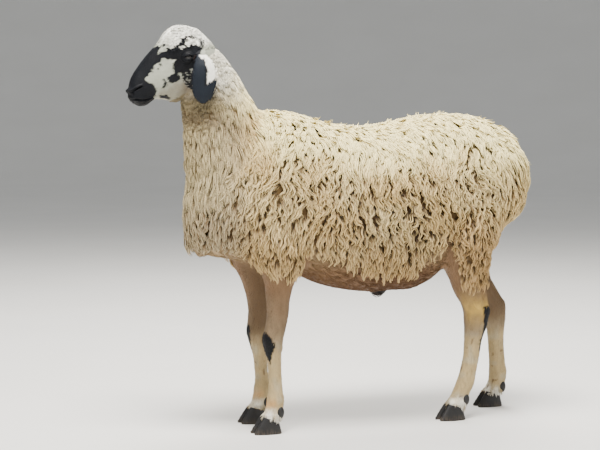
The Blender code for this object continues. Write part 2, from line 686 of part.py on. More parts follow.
def ear_rings(side, count=13, sides=10):
    """Rings down a hanging ear, which bends into a cup that is open towards the head."""
    rows = eased(EAR, count)
    turn = 2 * math.pi * np.arange(sides) / sides
    across, through = np.cos(turn), np.sin(turn)
    drop, front, back, out = (rows[:, i : i + 1] for i in range(4))
    half = (back - front) / 2
    thick = EAR_THICK * np.clip(1.6 - 30 * (drop + 0.014), 1.0, 1.6)
    x = (front + back) / 2 + half * across
    y = out - EAR_CUP * (half / 0.036) * across**2 + thick / 2 * through
    z = -drop + 0 * across
    s, aside, t = EAR_ROOT
    root = head_matrix() @ Vector((-s, side * aside, t))
    turned = Matrix.Translation(root) @ Matrix.Rotation(-HEAD_YAW, 4, "Z")
    rings = np.stack([x, side * y, z], axis=2)
    return placed(rings.reshape(-1, 3), turned).reshape(rings.shape)


def make_ears():
    """Both ears, set in the sockets that were cut for them."""
    for side, word in ((-1, "left"), (1, "right")):
        finish(new_object("ear_" + word, *skin_grid(ear_rings(side))), DARK)


def claw_rings(middle, side_middle, inner, count=4, sides=10):
    """Rings of one claw from the sole up to the sloping coronet; inner is the cleft's side."""
    u = np.linspace(0, 1, count)[:, None]
    turn = 2 * math.pi * np.arange(sides) / sides
    c, s = powered(np.cos(turn), 2.3), powered(np.sin(turn), 2.6)
    front = CLAW_TOE + (CLAW_TOP_FRONT - CLAW_TOE) * u**0.85
    back = CLAW_HEEL + (CLAW_TOP_BACK - CLAW_HEEL) * u
    half = CLAW_HALF + (CLAW_TOP_HALF - CLAW_HALF) * u
    pinch = np.where(c < 0, 1 - 0.35 * np.abs(c) ** 3, 1.0)
    x = middle + np.where(c < 0, front * c, back * c)
    y = side_middle - inner * (CLAW_CLEFT / 2 + half) + half * s * pinch
    top = FORELEG[-1].z - GAP - CORONET_RISE * (x - middle)
    return np.stack([x, y, u * top], axis=2)


def make_feet():
    """Two claws and two dewclaws under each leg."""
    for leg, place in ((FORELEG, "fore"), (HINDLEG, "hind")):
        for side, word in ((-1, "left"), (1, "right")):
            end = leg[-1]
            middle = end.left if side < 0 else end.right
            for inner, which in ((side, "inner"), (-side, "outer")):
                name = f"claw_{place}_{word}_{which}"
                rings = claw_rings(middle, side * end.aside, inner)
                finish(new_object(name, *skin_grid(rings)), HORN)
            make_dewclaws(leg, place, side, word)


def make_dewclaws(leg, place, side, word):
    """Two short cones behind the fetlock, cut back where they meet it."""
    levels = [r.z for r in leg][::-1]
    middles = [r.left if side < 0 else r.right for r in leg][::-1]
    deeps = [r.deep for r in leg][::-1]
    back = np.interp(DEWCLAW_Z, levels, middles) + np.interp(DEWCLAW_Z, levels, deeps)
    for inner, which in ((-1, "inner"), (1, "outer")):
        name = f"dewclaw_{place}_{word}_{which}"
        y = side * (leg[-1].aside + inner * DEWCLAW_ASIDE)
        radii = (DEWCLAW_WIDE, DEWCLAW_WIDE, DEWCLAW_LONG / 2)
        claw = ball(name, (back + 0.001, y, DEWCLAW_Z - 0.004), radii, rows=5, sides=8)
        around = new_object("around", *skin_grid(leg_rings(leg, side, grow=GAP * 1.6)))
        finish(largest(combined(claw, [around], "DIFFERENCE", name)), HORN)


def make_underside():
    """The sheath and the scrotum, each cut back where it meets the belly."""
    for name, at, radii, look in (
        ("sheath", SHEATH_AT, SHEATH_RADII, DARK),
        ("scrotum", SCROTUM_AT, SCROTUM_RADII, SKIN),
    ):
        piece = ball(name, at, radii, rows=8, sides=12)
        around = [new_object("around", *skin_grid(trunk_rings(grow=GAP * 1.6)))]
        for side in (-1, 1):
            rings = leg_rings(HINDLEG, side, grow=GAP * 1.6)
            around.append(new_object("around", *skin_grid(rings)))
        finish(largest(combined(piece, around, "DIFFERENCE", name)), look)


def main():
    clear_scene()
    nodes = make_body()
    nodes["head"] = make_face(nodes["head"])
    for name, node in nodes.items():
        finish(node, HAIR if "leg" in name or name == "head" else WOOL)
    make_ears()
    make_feet()
    make_underside()
    for obj in bpy.context.scene.collection.objects:
        obj.data.transform(Matrix.Translation((-CENTRE_X, 0.0, 0.0)))


main()
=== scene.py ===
"""A fat-rumped Hissar ram, dressed: one skin with its markings, a fleece of wavy locks,
short hair on face and legs, eyes, and horn claws.

Metres, +Z up, in the frame of the CAD: the ram faces -X, its left side is at -Y, and it
stands on Z = 0. Sizes along X are counted from under the withers, as in the part's source.
"""

import json
import logging
import math
from dataclasses import dataclass
from enum import Enum, auto
from typing import Any, Iterable, NamedTuple, Sequence

import bpy
import numpy as np
from mathutils import Matrix, Vector

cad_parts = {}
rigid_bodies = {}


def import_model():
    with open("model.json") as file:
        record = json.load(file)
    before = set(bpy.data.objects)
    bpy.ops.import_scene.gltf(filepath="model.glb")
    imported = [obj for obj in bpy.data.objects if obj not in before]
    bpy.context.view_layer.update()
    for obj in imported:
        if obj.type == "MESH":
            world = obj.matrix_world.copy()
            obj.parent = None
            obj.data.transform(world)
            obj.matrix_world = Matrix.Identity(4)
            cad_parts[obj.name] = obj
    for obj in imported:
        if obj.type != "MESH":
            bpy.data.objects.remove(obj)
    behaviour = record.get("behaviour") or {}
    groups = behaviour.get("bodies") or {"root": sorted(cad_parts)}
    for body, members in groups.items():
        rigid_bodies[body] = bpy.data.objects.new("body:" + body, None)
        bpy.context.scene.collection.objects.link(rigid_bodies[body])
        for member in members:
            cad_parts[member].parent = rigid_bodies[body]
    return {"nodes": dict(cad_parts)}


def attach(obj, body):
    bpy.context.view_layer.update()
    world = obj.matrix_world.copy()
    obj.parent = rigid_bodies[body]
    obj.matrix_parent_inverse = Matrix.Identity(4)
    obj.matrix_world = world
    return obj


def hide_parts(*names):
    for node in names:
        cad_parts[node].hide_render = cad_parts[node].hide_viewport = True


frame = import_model()

Array = np.ndarray
log = logging.getLogger("ram")

WITHERS = 0.112  # how far the model's origin lies behind the withers
CORE = 0.020  # how deep the skin lies under the tips of the fleece
SEED = 29
HEAD_HEIGHT = 0.86  # the head and the upper neck lie above this
PIECE_TRIANGLES = 190000  # the most in one piece of the coat


class Slice(NamedTuple):
    """An upright slice of the trunk, and the share of the fleece that it carries."""

    x: float
    low: float
    high: float
    half: float
    wide: float
    coat: float


class Level(NamedTuple):
    """A level slice of the neck, and the share of the fleece that it carries."""

    z: float
    front: float
    back: float
    half: float
    coat: float


class Face(NamedTuple):
    """A slice of the head, counted forward of the ears in the head's own frame."""

    s: float
    top: float
    low: float
    half: float
    wide: float


class Hang(NamedTuple):
    """A slice of a hanging ear: how far down, its two edges, and how far out."""

    drop: float
    front: float
    back: float
    out: float


class Shank(NamedTuple):
    """A level slice of a leg, with the middles of the left and the right one."""

    z: float
    left: float
    right: float
    deep: float
    half: float
    aside: float


def in_metres(kind: Any, rows: Sequence[Sequence[float]]) -> tuple:
    """Rows of a kind from thousandths: of a metre, or of the whole where a number is a share."""
    return tuple(kind(*row) for row in np.round(np.array(rows) / 1000, 6))


TRUNK = in_metres(Slice, (
    (-330, 590, 640, 20, 615, 0),
    (-318, 524, 720, 66, 620, 600),
    (-282, 503, 790, 110, 635, 1000),
    (-220, 490, 860, 148, 650, 1000),
    (-120, 462, 914, 176, 650, 1000),
    (-30, 446, 903, 194, 645, 1000),
    (60, 408, 878, 207, 635, 1000),
    (180, 384, 865, 214, 625, 1000),
    (300, 383, 880, 212, 625, 1000),
    (385, 408, 896, 205, 640, 1000),
    (440, 458, 900, 200, 655, 1000),
    (520, 480, 896, 192, 670, 1000),
    (600, 560, 868, 166, 700, 1000),
    (655, 630, 815, 105, 710, 600),
    (672, 690, 740, 20, 712, 0),
))
NECK = in_metres(Level, (
    (560, -300, -60, 60, 0),
    (600, -322, -20, 115, 1000),
    (700, -340, -40, 123, 1000),
    (780, -350, -66, 118, 1000),
    (850, -352, -100, 104, 800),
    (910, -358, -134, 90, 500),
    (960, -362, -166, 79, 500),
    (1010, -350, -196, 70, 500),
    (1050, -330, -226, 62, 400),
    (1085, -315, -262, 40, 200),
))
HEAD = in_metres(Face, (
    (-40, 10, -30, 15, -10),
    (-30, 45, -55, 44, -5),
    (-8, 75, -74, 60, 0),
    (16, 93, -82, 66, 6),
    (40, 99, -86, 66.5, 12),
    (62, 95, -87, 60, 12),
    (84, 86, -86, 52, 6),
    (110, 79, -84, 46, 0),
    (138, 71, -74, 41, 0),
    (158, 64, -56, 37, 2),
    (175, 57, -44, 34.5, 4),
    (196, 47, -42, 34.5, 2),
    (212, 35, -40, 34, -2),
    (226, 19, -33, 28, -4),
    (235.5, 6, -18, 14, -5),
))
EAR = in_metres(Hang, (
    (-14, -6, 6, -6),
    (-4, -8, 12, 14),
    (10, -13, 19, 30),
    (30, -20, 37, 41),
    (60, -26, 46, 46),
    (95, -29, 45.5, 47),
    (120, -23.5, 35, 46),
    (134, -12, 21, 44),
    (141, -2, 10, 43),
))
FORELEG = in_metres(Shank, (
    (600, -130, -130, 60, 50, 100),
    (520, -110, -115, 70, 55, 100),
    (460, -98, -108, 58, 48, 96),
    (420, -100, -104, 42, 38, 92),
    (380, -103, -98, 34.5, 34, 90),
    (330, -104, -94, 31.2, 30, 88),
    (295, -110, -97, 30, 29, 87),
    (265, -116.5, -100, 29.5, 29, 86),
    (235, -117, -98, 25.5, 25, 86),
    (205, -113.5, -93, 21.2, 21, 86),
    (160, -111, -88, 19.8, 19, 86),
    (120, -109, -85, 21, 20.5, 86),
    (92, -109, -85, 25, 24.5, 86),
    (70, -114, -90, 23.8, 24, 86),
    (52, -121, -97, 22.5, 23.5, 86),
    (41.5, -126.5, -102.5, 23.2, 25, 86),
))
HINDLEG = in_metres(Shank, (
    (640, 495, 520, 80, 70, 105),
    (560, 478, 535, 85, 78, 108),
    (500, 468, 548, 76, 70, 108),
    (450, 474, 572, 64, 58, 106),
    (420, 484, 592, 56, 50, 102),
    (375, 498, 626, 49, 40, 96),
    (335, 516, 657, 41.5, 32.5, 91),
    (310, 522, 671, 39.5, 30, 88),
    (280, 522, 676, 36.5, 28, 86),
    (235, 514, 680, 28, 23.5, 85),
    (185, 508, 682, 25, 21, 85),
    (140, 498, 686, 25.5, 21, 85),
    (100, 486, 689, 28, 24.5, 85),
    (74, 472, 684, 26.2, 24, 85),
    (55, 460, 674, 24.5, 24, 85),
    (41.5, 451.5, 665.5, 24, 25.5, 85),
))
FLEECE_EDGE = np.array((
    (-360, 520), (-250, 515), (-180, 490), (-140, 452), (-60, 445), (-30, 512), (80, 478), (150, 440),
    (200, 430), (290, 440), (330, 487), (390, 535), (425, 490), (450, 400), (640, 395), (700, 450),
    (800, 560),
)) / 1000


# Shapes


@dataclass
class Surface:
    """Points, and the four-sided and three-sided faces between them."""

    points: Array
    quads: Array
    tris: Array

    def triangles(self) -> Array:
        """Every face as triangles."""
        return np.concatenate([self.quads[:, [0, 1, 2]], self.quads[:, [0, 2, 3]], self.tris])

    def outward(self) -> "Surface":
        """The surface with its faces turned out: the volume under them is then positive.

        Returns:
            The same surface, or the one with each face's corners in the other order.
        """
        a, b, c = np.moveaxis(self.points[self.triangles()], 1, 0)
        if np.einsum("ij,ij->", a, np.cross(b, c)) > 0:
            return self
        return Surface(self.points, self.quads[:, ::-1], self.tris[:, ::-1])

    def placed(self, matrix: Matrix) -> "Surface":
        """The surface moved and turned by matrix, facing outwards."""
        return Surface(placed(self.points, matrix), self.quads, self.tris).outward()

    def normals(self) -> Array:
        """Unit normals at the points: the sum of the crossed sides of the faces round each."""
        faces = self.triangles()
        a, b, c = np.moveaxis(self.points[faces], 1, 0)
        cross = np.cross(b - a, c - a)
        total = summed(faces.ravel(), np.repeat(cross, 3, axis=0), len(self.points))
        return unit(total)


def joined(surfaces: Iterable[Surface]) -> Surface:
    """One surface that holds all the given ones.

    Args:
        surfaces: The surfaces, whose points keep their order.

    Returns:
        The surface of all their points and faces.
    """
    points, quads, tris, start = [], [], [], 0
    for one in surfaces:
        points.append(one.points)
        quads.append(one.quads + start)
        tris.append(one.tris + start)
        start += len(one.points)
    return Surface(np.concatenate(points), np.concatenate(quads), np.concatenate(tris))


def unit(vectors: Array) -> Array:
    """Each vector divided by its length."""
    return vectors / np.maximum(np.linalg.norm(vectors, axis=-1, keepdims=True), 1e-12)


def summed(index: Array, values: Array, count: int) -> Array:
    """The sum of the rows of values that share an index, for each of count indices."""
    return np.stack([np.bincount(index, v, count) for v in values.T], axis=1)


def placed(points: Array, matrix: Matrix) -> Array:
    """Points multiplied by a four-by-four matrix."""
    turn = np.array(matrix, float)
    return np.asarray(points, float) @ turn[:3, :3].T + turn[:3, 3]


def step(low: float, high: float, value: Array) -> Array:
    """0 below low and 1 above high, by 3t^2 - 2t^3 between them; it falls where low is above high."""
    t = np.clip((np.asarray(value, float) - low) / (high - low), 0.0, 1.0)
    return t * t * (3 - 2 * t)


def stacked(*parts: Any) -> Array:
    """Numbers and arrays side by side along a new last axis, each stretched to the same shape."""
    return np.stack(np.broadcast_arrays(*parts), axis=-1)


def powered(value: Array, roundness: float) -> Array:
    """A cosine or sine bent towards a box: sign(v) |v| ** (2 / roundness)."""
    return np.sign(value) * np.abs(value) ** (2.0 / roundness)


def slopes(table: Array) -> Array:
    """The slope of each column at each row against the first column, flat where steps turn."""
    slope = np.gradient(table, table[:, 0], axis=0)
    steps = np.diff(table, axis=0)
    slope[1:-1][np.sign(steps[:-1]) != np.sign(steps[1:])] = 0.0
    return slope


def eased_at(rows: Sequence[Sequence[float]], wanted: Array) -> Array:
    """Rows on a smooth curve through the given rows, at wanted places of the first column.

    Between two rows a and b with slopes m and n, t of the way: a + (b - a)(3t^2 - 2t^3)
    + m t (1 - t)^2 - n t^2 (1 - t).

    Args:
        rows: The given rows, rising in their first column.
        wanted: The values of the first column, of any shape.

    Returns:
        An array of that shape with one more axis, for the columns.
    """
    table = np.array(rows, float)
    at, slope = table[:, 0], slopes(table)
    wanted = np.clip(wanted, at[0], at[-1])
    k = np.clip(np.searchsorted(at, wanted, side="right") - 1, 0, len(at) - 2)
    span = (at[k + 1] - at[k])[..., None]
    t = (wanted[..., None] - at[k][..., None]) / span
    h = t * t * (3 - 2 * t)
    m, n = slope[k] * span, slope[k + 1] * span
    return table[k] * (1 - h) + table[k + 1] * h + m * t * (1 - t) ** 2 - n * t * t * (1 - t)


def eased(rows: Sequence[Sequence[float]], count: int) -> Array:
    """count rows, evenly spaced along the first column, on the curve of eased_at."""
    return eased_at(rows, np.linspace(rows[0][0], rows[-1][0], count))


def columns(rows: Array) -> list[Array]:
    """The columns of rows, each as a column of its own."""
    return [rows[:, i : i + 1] for i in range(rows.shape[1])]


def turned(sides: int) -> Array:
    """Angles evenly round a circle."""
    return 2 * math.pi * np.arange(sides) / sides


def lofted(rings: Array) -> Surface:
    """The closed surface through rings of equal length, with a pole in the middle of each end.

    Args:
        rings: An array of rings, points of a ring, and coordinates.

    Returns:
        The surface, facing outwards.
    """
    count, sides = rings.shape[:2]
    points = np.concatenate([rings.reshape(-1, 3), rings[[0, -1]].mean(axis=1)])
    i, j = np.meshgrid(np.arange(count - 1), np.arange(sides), indexing="ij")
    k = (j + 1) % sides
    quads = stacked(i * sides + j, i * sides + k, (i + 1) * sides + k, (i + 1) * sides + j)
    here, beside = np.arange(sides), (np.arange(sides) + 1) % sides
    first, last = np.full(sides, count * sides), np.full(sides, count * sides + 1)
    start = (count - 1) * sides
    caps = [stacked(first, beside, here), stacked(last, start + here, start + beside)]
    return Surface(points, quads.reshape(-1, 4), np.concatenate(caps)).outward()


def ball(centre: Sequence[float], radii: Sequence[float], rows: int = 30, sides: int = 44) -> Surface:
    """An ellipsoid: centre + radii times (cos v cos u, cos v sin u, sin v)."""
    lift = np.linspace(-math.pi / 2, math.pi / 2, rows + 2)[1:-1, None]
    turn = turned(sides)
    level = np.cos(lift)
    surface = lofted(stacked(level * np.cos(turn), level * np.sin(turn), np.sin(lift)))
    surface.points[-2:] = ((0, 0, -1), (0, 0, 1))
    surface.points = surface.points * np.array(radii) + np.array(centre)
    return surface


def mesh_object(
    name: str,
    surface: Surface,
    material: bpy.types.Material | None = None,
    vectors: dict[str, Array] | None = None,
    colours: dict[str, Array] | None = None,
    bake_map: Array | None = None,
) -> bpy.types.Object:
    """Puts a surface into a smooth-shaded mesh object, moved to the CAD's frame.

    Args:
        name: The object's name.
        surface: Points in the sizes' frame, and faces.
        material: The finish, if any.
        vectors: Attributes of three numbers a point, by name.
        colours: Colour attributes of three numbers a point, by name.
        bake_map: The place of each point in the map OFBake.

    Returns:
        The object, at the origin, in the scene.
    """
    mesh = bpy.data.meshes.new(name)
    loops = np.concatenate([surface.quads.ravel(), surface.tris.ravel()]).astype(np.int32)
    sizes = np.repeat([4, 3], [len(surface.quads), len(surface.tris)])
    mesh.vertices.add(len(surface.points))
    places = surface.points - np.array((WITHERS, 0.0, 0.0))
    mesh.vertices.foreach_set("co", places.astype(np.float32).ravel())
    mesh.loops.add(len(loops))
    mesh.loops.foreach_set("vertex_index", loops)
    mesh.polygons.add(len(sizes))
    mesh.polygons.foreach_set("loop_start", (np.cumsum(sizes) - sizes).astype(np.int32))
    mesh.update(calc_edges=True)
    for word, values in (vectors or {}).items():
        layer = mesh.attributes.new(word, "FLOAT_VECTOR", "POINT")
        layer.data.foreach_set("vector", values.astype(np.float32).ravel())
    for word, values in (colours or {}).items():
        layer = mesh.color_attributes.new(word, "FLOAT_COLOR", "POINT")
        whole = np.concatenate([values, np.ones((len(values), 1))], axis=1)
        layer.data.foreach_set("color", whole.astype(np.float32).ravel())
    if bake_map is not None:
        layer = mesh.uv_layers.new(name="OFBake")
        layer.uv.foreach_set("vector", bake_map[loops].astype(np.float32).ravel())
    mesh.shade_smooth()
    if material is not None:
        mesh.materials.append(material)
    obj = bpy.data.objects.new(name, mesh)
    bpy.context.scene.collection.objects.link(obj)
    return obj


def surface_of(obj: bpy.types.Object) -> Surface:
    """The surface of an object with its modifiers, in the sizes' frame; the object is removed.

    Args:
        obj: A mesh object whose faces have three or four corners.

    Returns:
        Its surface.
    """
    bpy.context.view_layer.update()
    mesh = obj.evaluated_get(bpy.context.evaluated_depsgraph_get()).data
    points = np.empty(len(mesh.vertices) * 3, np.float32)
    mesh.vertices.foreach_get("co", points)
    corners = np.empty(len(mesh.loops), np.int32)
    mesh.loops.foreach_get("vertex_index", corners)
    starts, sizes = (np.empty(len(mesh.polygons), np.int32) for _ in range(2))
    mesh.polygons.foreach_get("loop_start", starts)
    mesh.polygons.foreach_get("loop_total", sizes)
    faces = [corners[starts[sizes == n][:, None] + np.arange(n)] for n in (4, 3)]
    points = points.reshape(-1, 3).astype(float) + np.array((WITHERS, 0.0, 0.0))
    bpy.data.objects.remove(obj, do_unlink=True)
    return Surface(points, *faces)


def combined(base: Surface, others: Sequence[Surface], operation: str) -> Surface:
    """base joined with, or cut by, the others, each a closed surface.

    Args:
        base: The surface that is changed.
        others: The surfaces that are added or taken away.
        operation: UNION or DIFFERENCE.

    Returns:
        The new surface, all in triangles.
    """
    obj = mesh_object("base", base)
    group = bpy.data.collections.new("group")
    bpy.context.scene.collection.children.link(group)
    pieces = [mesh_object("other", other) for other in others]
    for piece in pieces:
        group.objects.link(piece)
    boolean = obj.modifiers.new("combine", "BOOLEAN")
    boolean.operation, boolean.solver = operation, "MANIFOLD"
    boolean.operand_type, boolean.collection = "COLLECTION", group
    obj.modifiers.new("three sides", "TRIANGULATE")
    surface = surface_of(obj)
    for piece in pieces:
        bpy.data.objects.remove(piece, do_unlink=True)
    bpy.data.collections.remove(group)
    return surface


# Fields on the body


def rough(points: Array, size: float, seed: int = 0) -> Array:
    """Smooth noise from -1 to 1: hashed values at the corners of cubes, blended by 3t^2 - 2t^3.

    Args:
        points: Where it is wanted.
        size: The side of a cube, a number or one for each axis.
        seed: Another seed gives another pattern.

    Returns:
        One number a point.
    """
    at = np.asarray(points, float) / size + seed * 17.31
    cell = np.floor(at).astype(np.int64)
    t = at - cell
    t = t * t * (3 - 2 * t)
    total = np.zeros(len(at))
    for corner in np.ndindex(2, 2, 2):
        key = cell + np.array(corner)
        mixed = key[:, 0] * 73856093 ^ key[:, 1] * 19349663 ^ key[:, 2] * 83492791 ^ seed * 40503
        mixed = (mixed ^ mixed >> 13) * 1274126177 & 0xFFFFFFFF
        value = ((mixed ^ mixed >> 16) & 0xFFFF) / 32767.5 - 1.0
        total += value * np.prod(np.where(corner, t, 1 - t), axis=1)
    return total


def bell(*terms: Any) -> Array:
    """exp(-x), where x sums ((value - middle) / width)^2 over terms of value, middle and width."""
    return np.exp(-sum(((v - m) / w) ** 2 for v, m, w in zip(terms[::3], terms[1::3], terms[2::3])))


def inside(places: Array, outline: Array | Sequence[tuple[float, float]]) -> Array:
    """How far each place is inside an outline: the distance to its nearest side, or less than 0.

    Args:
        places: Points of the plane.
        outline: The corners, in order.

    Returns:
        One distance a place.
    """
    corners = np.array(outline)
    ends = np.roll(corners, -1, axis=0)
    sides = ends - corners
    out = places[:, None] - corners
    share = np.clip((out * sides).sum(2) / (sides**2).sum(1), 0, 1)
    away = np.linalg.norm(out - share[..., None] * sides, axis=2).min(axis=1)
    y, low, high = places[:, 1:2], corners[:, 1], ends[:, 1]
    rise = np.where(high == low, 1e-9, high - low)
    crossing = corners[:, 0] + (y - low) / rise * sides[:, 0]
    met = ((low > y) != (high > y)) & (places[:, :1] < crossing)
    return np.where(met.sum(axis=1) % 2 == 1, away, -away)


def line_distance(points: Array, line: Array) -> Array:
    """The distance from each point to the nearest stretch of a line through several points."""
    start, along = line[:-1], np.diff(line, axis=0)
    out = points[:, None] - start
    share = np.clip((out * along).sum(2) / (along**2).sum(1), 0, 1)
    return np.linalg.norm(out - share[..., None] * along, axis=2).min(axis=1)


def srgb(red: float, green: float, blue: float) -> Array:
    """A linear colour from the numbers of a screen colour, 0 to 255."""
    v = np.array((red, green, blue)) / 255.0
    return np.where(v <= 0.04045, v / 12.92, ((v + 0.055) / 1.055) ** 2.4)


def mixed(first: Array, second: Array, share: Array) -> Array:
    """first where share is 0, second where it is 1, in proportion between; one share a row."""
    share = np.asarray(share)[:, None]
    return first * (1 - share) + second * share


class Zone(Enum):
    """What grows on a stretch of the skin."""

    FACE = auto()
    POLL = auto()
    NAPE = auto()
    EAR = auto()
    NECK = auto()
    BODY = auto()
    RUMP = auto()
    LIMB = auto()
    BELLY = auto()
    LEG = auto()
    CORONET = auto()


@dataclass(frozen=True)
class HeadFrame:
    """The head's own frame: s forward of the ears, side outward, t up from its middle."""

    at: tuple[float, float, float] = (-0.300, 0.0, 1.067)
    pitch: float = math.radians(32.7)
    yaw: float = math.radians(10.0)

    def matrix(self) -> Matrix:
        """Turns the head's frame, nose at -X, into the ram's."""
        turn = Matrix.Rotation(-self.yaw, 4, "Z") @ Matrix.Rotation(-self.pitch, 4, "Y")
        return Matrix.Translation(self.at) @ turn

    def local(self, points: Array) -> tuple[Array, Array, Array]:
        """s, side and t of points."""
        x, y, z = placed(points, self.matrix().inverted()).T
        return -x, y, z

    def on_side(self, at: Sequence[float], side: int, tilt: float) -> Matrix:
        """A frame at (s, side, t) on one side of the head, turned up by tilt."""
        s, aside, t = at
        turn = Matrix.Rotation(tilt, 4, "Y")
        return self.matrix() @ Matrix.Translation((-s, side * aside, t)) @ turn


@dataclass(frozen=True)
class Trunk:
    """The barrel, from the chest to under the tail, and the two round lobes of the fat tail."""

    lobe_at: tuple[float, float, float] = (0.570, 0.082, 0.705)
    lobe_radii: tuple[float, float, float] = (0.122, 0.112, 0.140)
    sheath_at: tuple[float, float, float] = (0.244, 0.0, 0.388)
    sheath_radii: tuple[float, float, float] = (0.0245, 0.0185, 0.0250)
    scrotum_at: tuple[float, float, float] = (0.560, 0.0, 0.420)
    scrotum_radii: tuple[float, float, float] = (0.034, 0.036, 0.060)

    def barrel(self, count: int = 96, sides: int = 80) -> Surface:
        """Upright rings: y = (half - inset) c, z = wide + rise s, with c and s boxed by 2.25."""
        c, s = powered(np.cos(turned(sides)), 2.25), powered(np.sin(turned(sides)), 2.25)
        x, low, high, half, wide, coat = columns(eased(TRUNK, count))
        inset = CORE * coat
        rise = np.where(s > 0, high - inset - wide, wide - low)
        return lofted(stacked(x, (half - inset) * c, wide + rise * s))

    def surfaces(self) -> list[Surface]:
        """The barrel, the lobes, the sheath and the scrotum."""
        x, y, z = self.lobe_at
        lobes = [
            ball((x, side * y, z), [r - CORE for r in self.lobe_radii], 40, 56) for side in (-1, 1)
        ]
        under = [ball(self.sheath_at, self.sheath_radii), ball(self.scrotum_at, self.scrotum_radii)]
        return [self.barrel(), *lobes, *under]


@dataclass(frozen=True)
class Neck:
    """The neck, from the chest to the poll."""

    def surface(self, count: int = 70, sides: int = 64) -> Surface:
        """Level rings: x = middle + (deep - inset) c, y = (half - inset) s, boxed by 2.1."""
        c, s = powered(np.cos(turned(sides)), 2.1), powered(np.sin(turned(sides)), 2.1)
        z, front, back, half, coat = columns(eased(NECK, count))
        inset = CORE * coat
        middle, deep = (front + back) / 2, (back - front) / 2 - inset
        return lofted(stacked(middle + deep * c, (half - inset) * s, z))


@dataclass(frozen=True)
class Leg:
    """One leg, from inside the body to the coronet, which slopes down to the heel."""

    rows: tuple[Shank, ...]
    side: int
    name: str
    fine: float = 0.0010  # the short hair stands this far off the skin
    slope: float = 0.30

    def table(self) -> list[tuple[float, ...]]:
        """The slices from the ground up: height, middle, half depth, half width, distance aside."""
        return [
            (r.z, r.left if self.side < 0 else r.right, r.deep, r.half, r.aside)
            for r in self.rows[::-1]
        ]

    def surface(self, count: int = 110, sides: int = 44) -> Surface:
        """Level rings boxed by 2.2, whose lowest 3 cm lean by slope towards the heel."""
        c, s = powered(np.cos(turned(sides)), 2.2), powered(np.sin(turned(sides)), 2.2)
        z, middle, deep, half, aside = columns(eased(self.table(), count))
        x = middle + (deep - self.fine) * c
        lean = self.slope * np.clip(1 - (z - z[0]) / 0.03, 0, 1)
        y = self.side * aside + (half - self.fine) * s
        return lofted(stacked(x, y, z - lean * (x - middle)))

    def local(self, points: Array) -> tuple[Array, Array]:
        """Where points are in the leg's slice: back of its middle and out of it, in half sizes."""
        rows = eased_at(self.table(), points[:, 2])
        back = (points[:, 0] - rows[:, 1]) / rows[:, 2]
        return back, (self.side * points[:, 1] - rows[:, 4]) / rows[:, 3]

    def holds(self, points: Array) -> Array:
        """Which points are on this leg: within 1.35 of its slice, and on its side."""
        back, out = self.local(points)
        return (np.hypot(back, out) < 1.35) & (self.side * points[:, 1] > 0)


@dataclass(frozen=True)
class Ear:
    """A hanging ear, cupped towards the head."""

    side: int
    head: HeadFrame = HeadFrame()
    root: tuple[float, float, float] = (0.008, 0.046, 0.003)
    thick: float = 0.0047
    cup: float = 0.011
    broad: float = 0.036  # half the width at which it is cupped in full

    def matrix(self) -> Matrix:
        """Where the ear hangs."""
        s, aside, t = self.root
        root = self.head.matrix() @ Vector((-s, self.side * aside, t))
        return Matrix.Translation(root) @ Matrix.Rotation(-self.head.yaw, 4, "Z")

    def surface(self, count: int = 60, sides: int = 40) -> Surface:
        """Rings down the ear: x = middle + half c, y = out - cup (half / broad) c^2 + thick s / 2."""
        c, s = np.cos(turned(sides)), np.sin(turned(sides))
        drop, front, back, out = columns(eased(EAR, count))
        half = (back - front) / 2
        thick = self.thick * np.clip(1.6 - 30 * (drop + 0.014), 1.0, 1.6)
        x = (front + back) / 2 + half * c
        y = out - self.cup * (half / self.broad) * c**2 + thick / 2 * s
        rings = stacked(x, self.side * y, -drop)
        return lofted(rings).placed(self.matrix())

    def local(self, points: Array) -> tuple[Array, Array, Array]:
        """How far down, how far across from 0 in front to 1 behind, and how far out of its sheet."""
        x, y, z = placed(points, self.matrix().inverted()).T
        rows = eased_at(EAR, -z)
        half = (rows[:, 2] - rows[:, 1]) / 2
        across = (x - rows[:, 1]) / (2 * half)
        sheet = rows[:, 3] - self.cup * (half / self.broad) * (2 * across - 1) ** 2
        return -z, across, self.side * y - sheet

    def holds(self, points: Array) -> Array:
        """Which points are on this ear."""
        drop, across, off = self.local(points)
        return (drop > 0.008) & (drop < 0.146) & (np.abs(across - 0.5) < 0.60) & (np.abs(off) < 0.009)


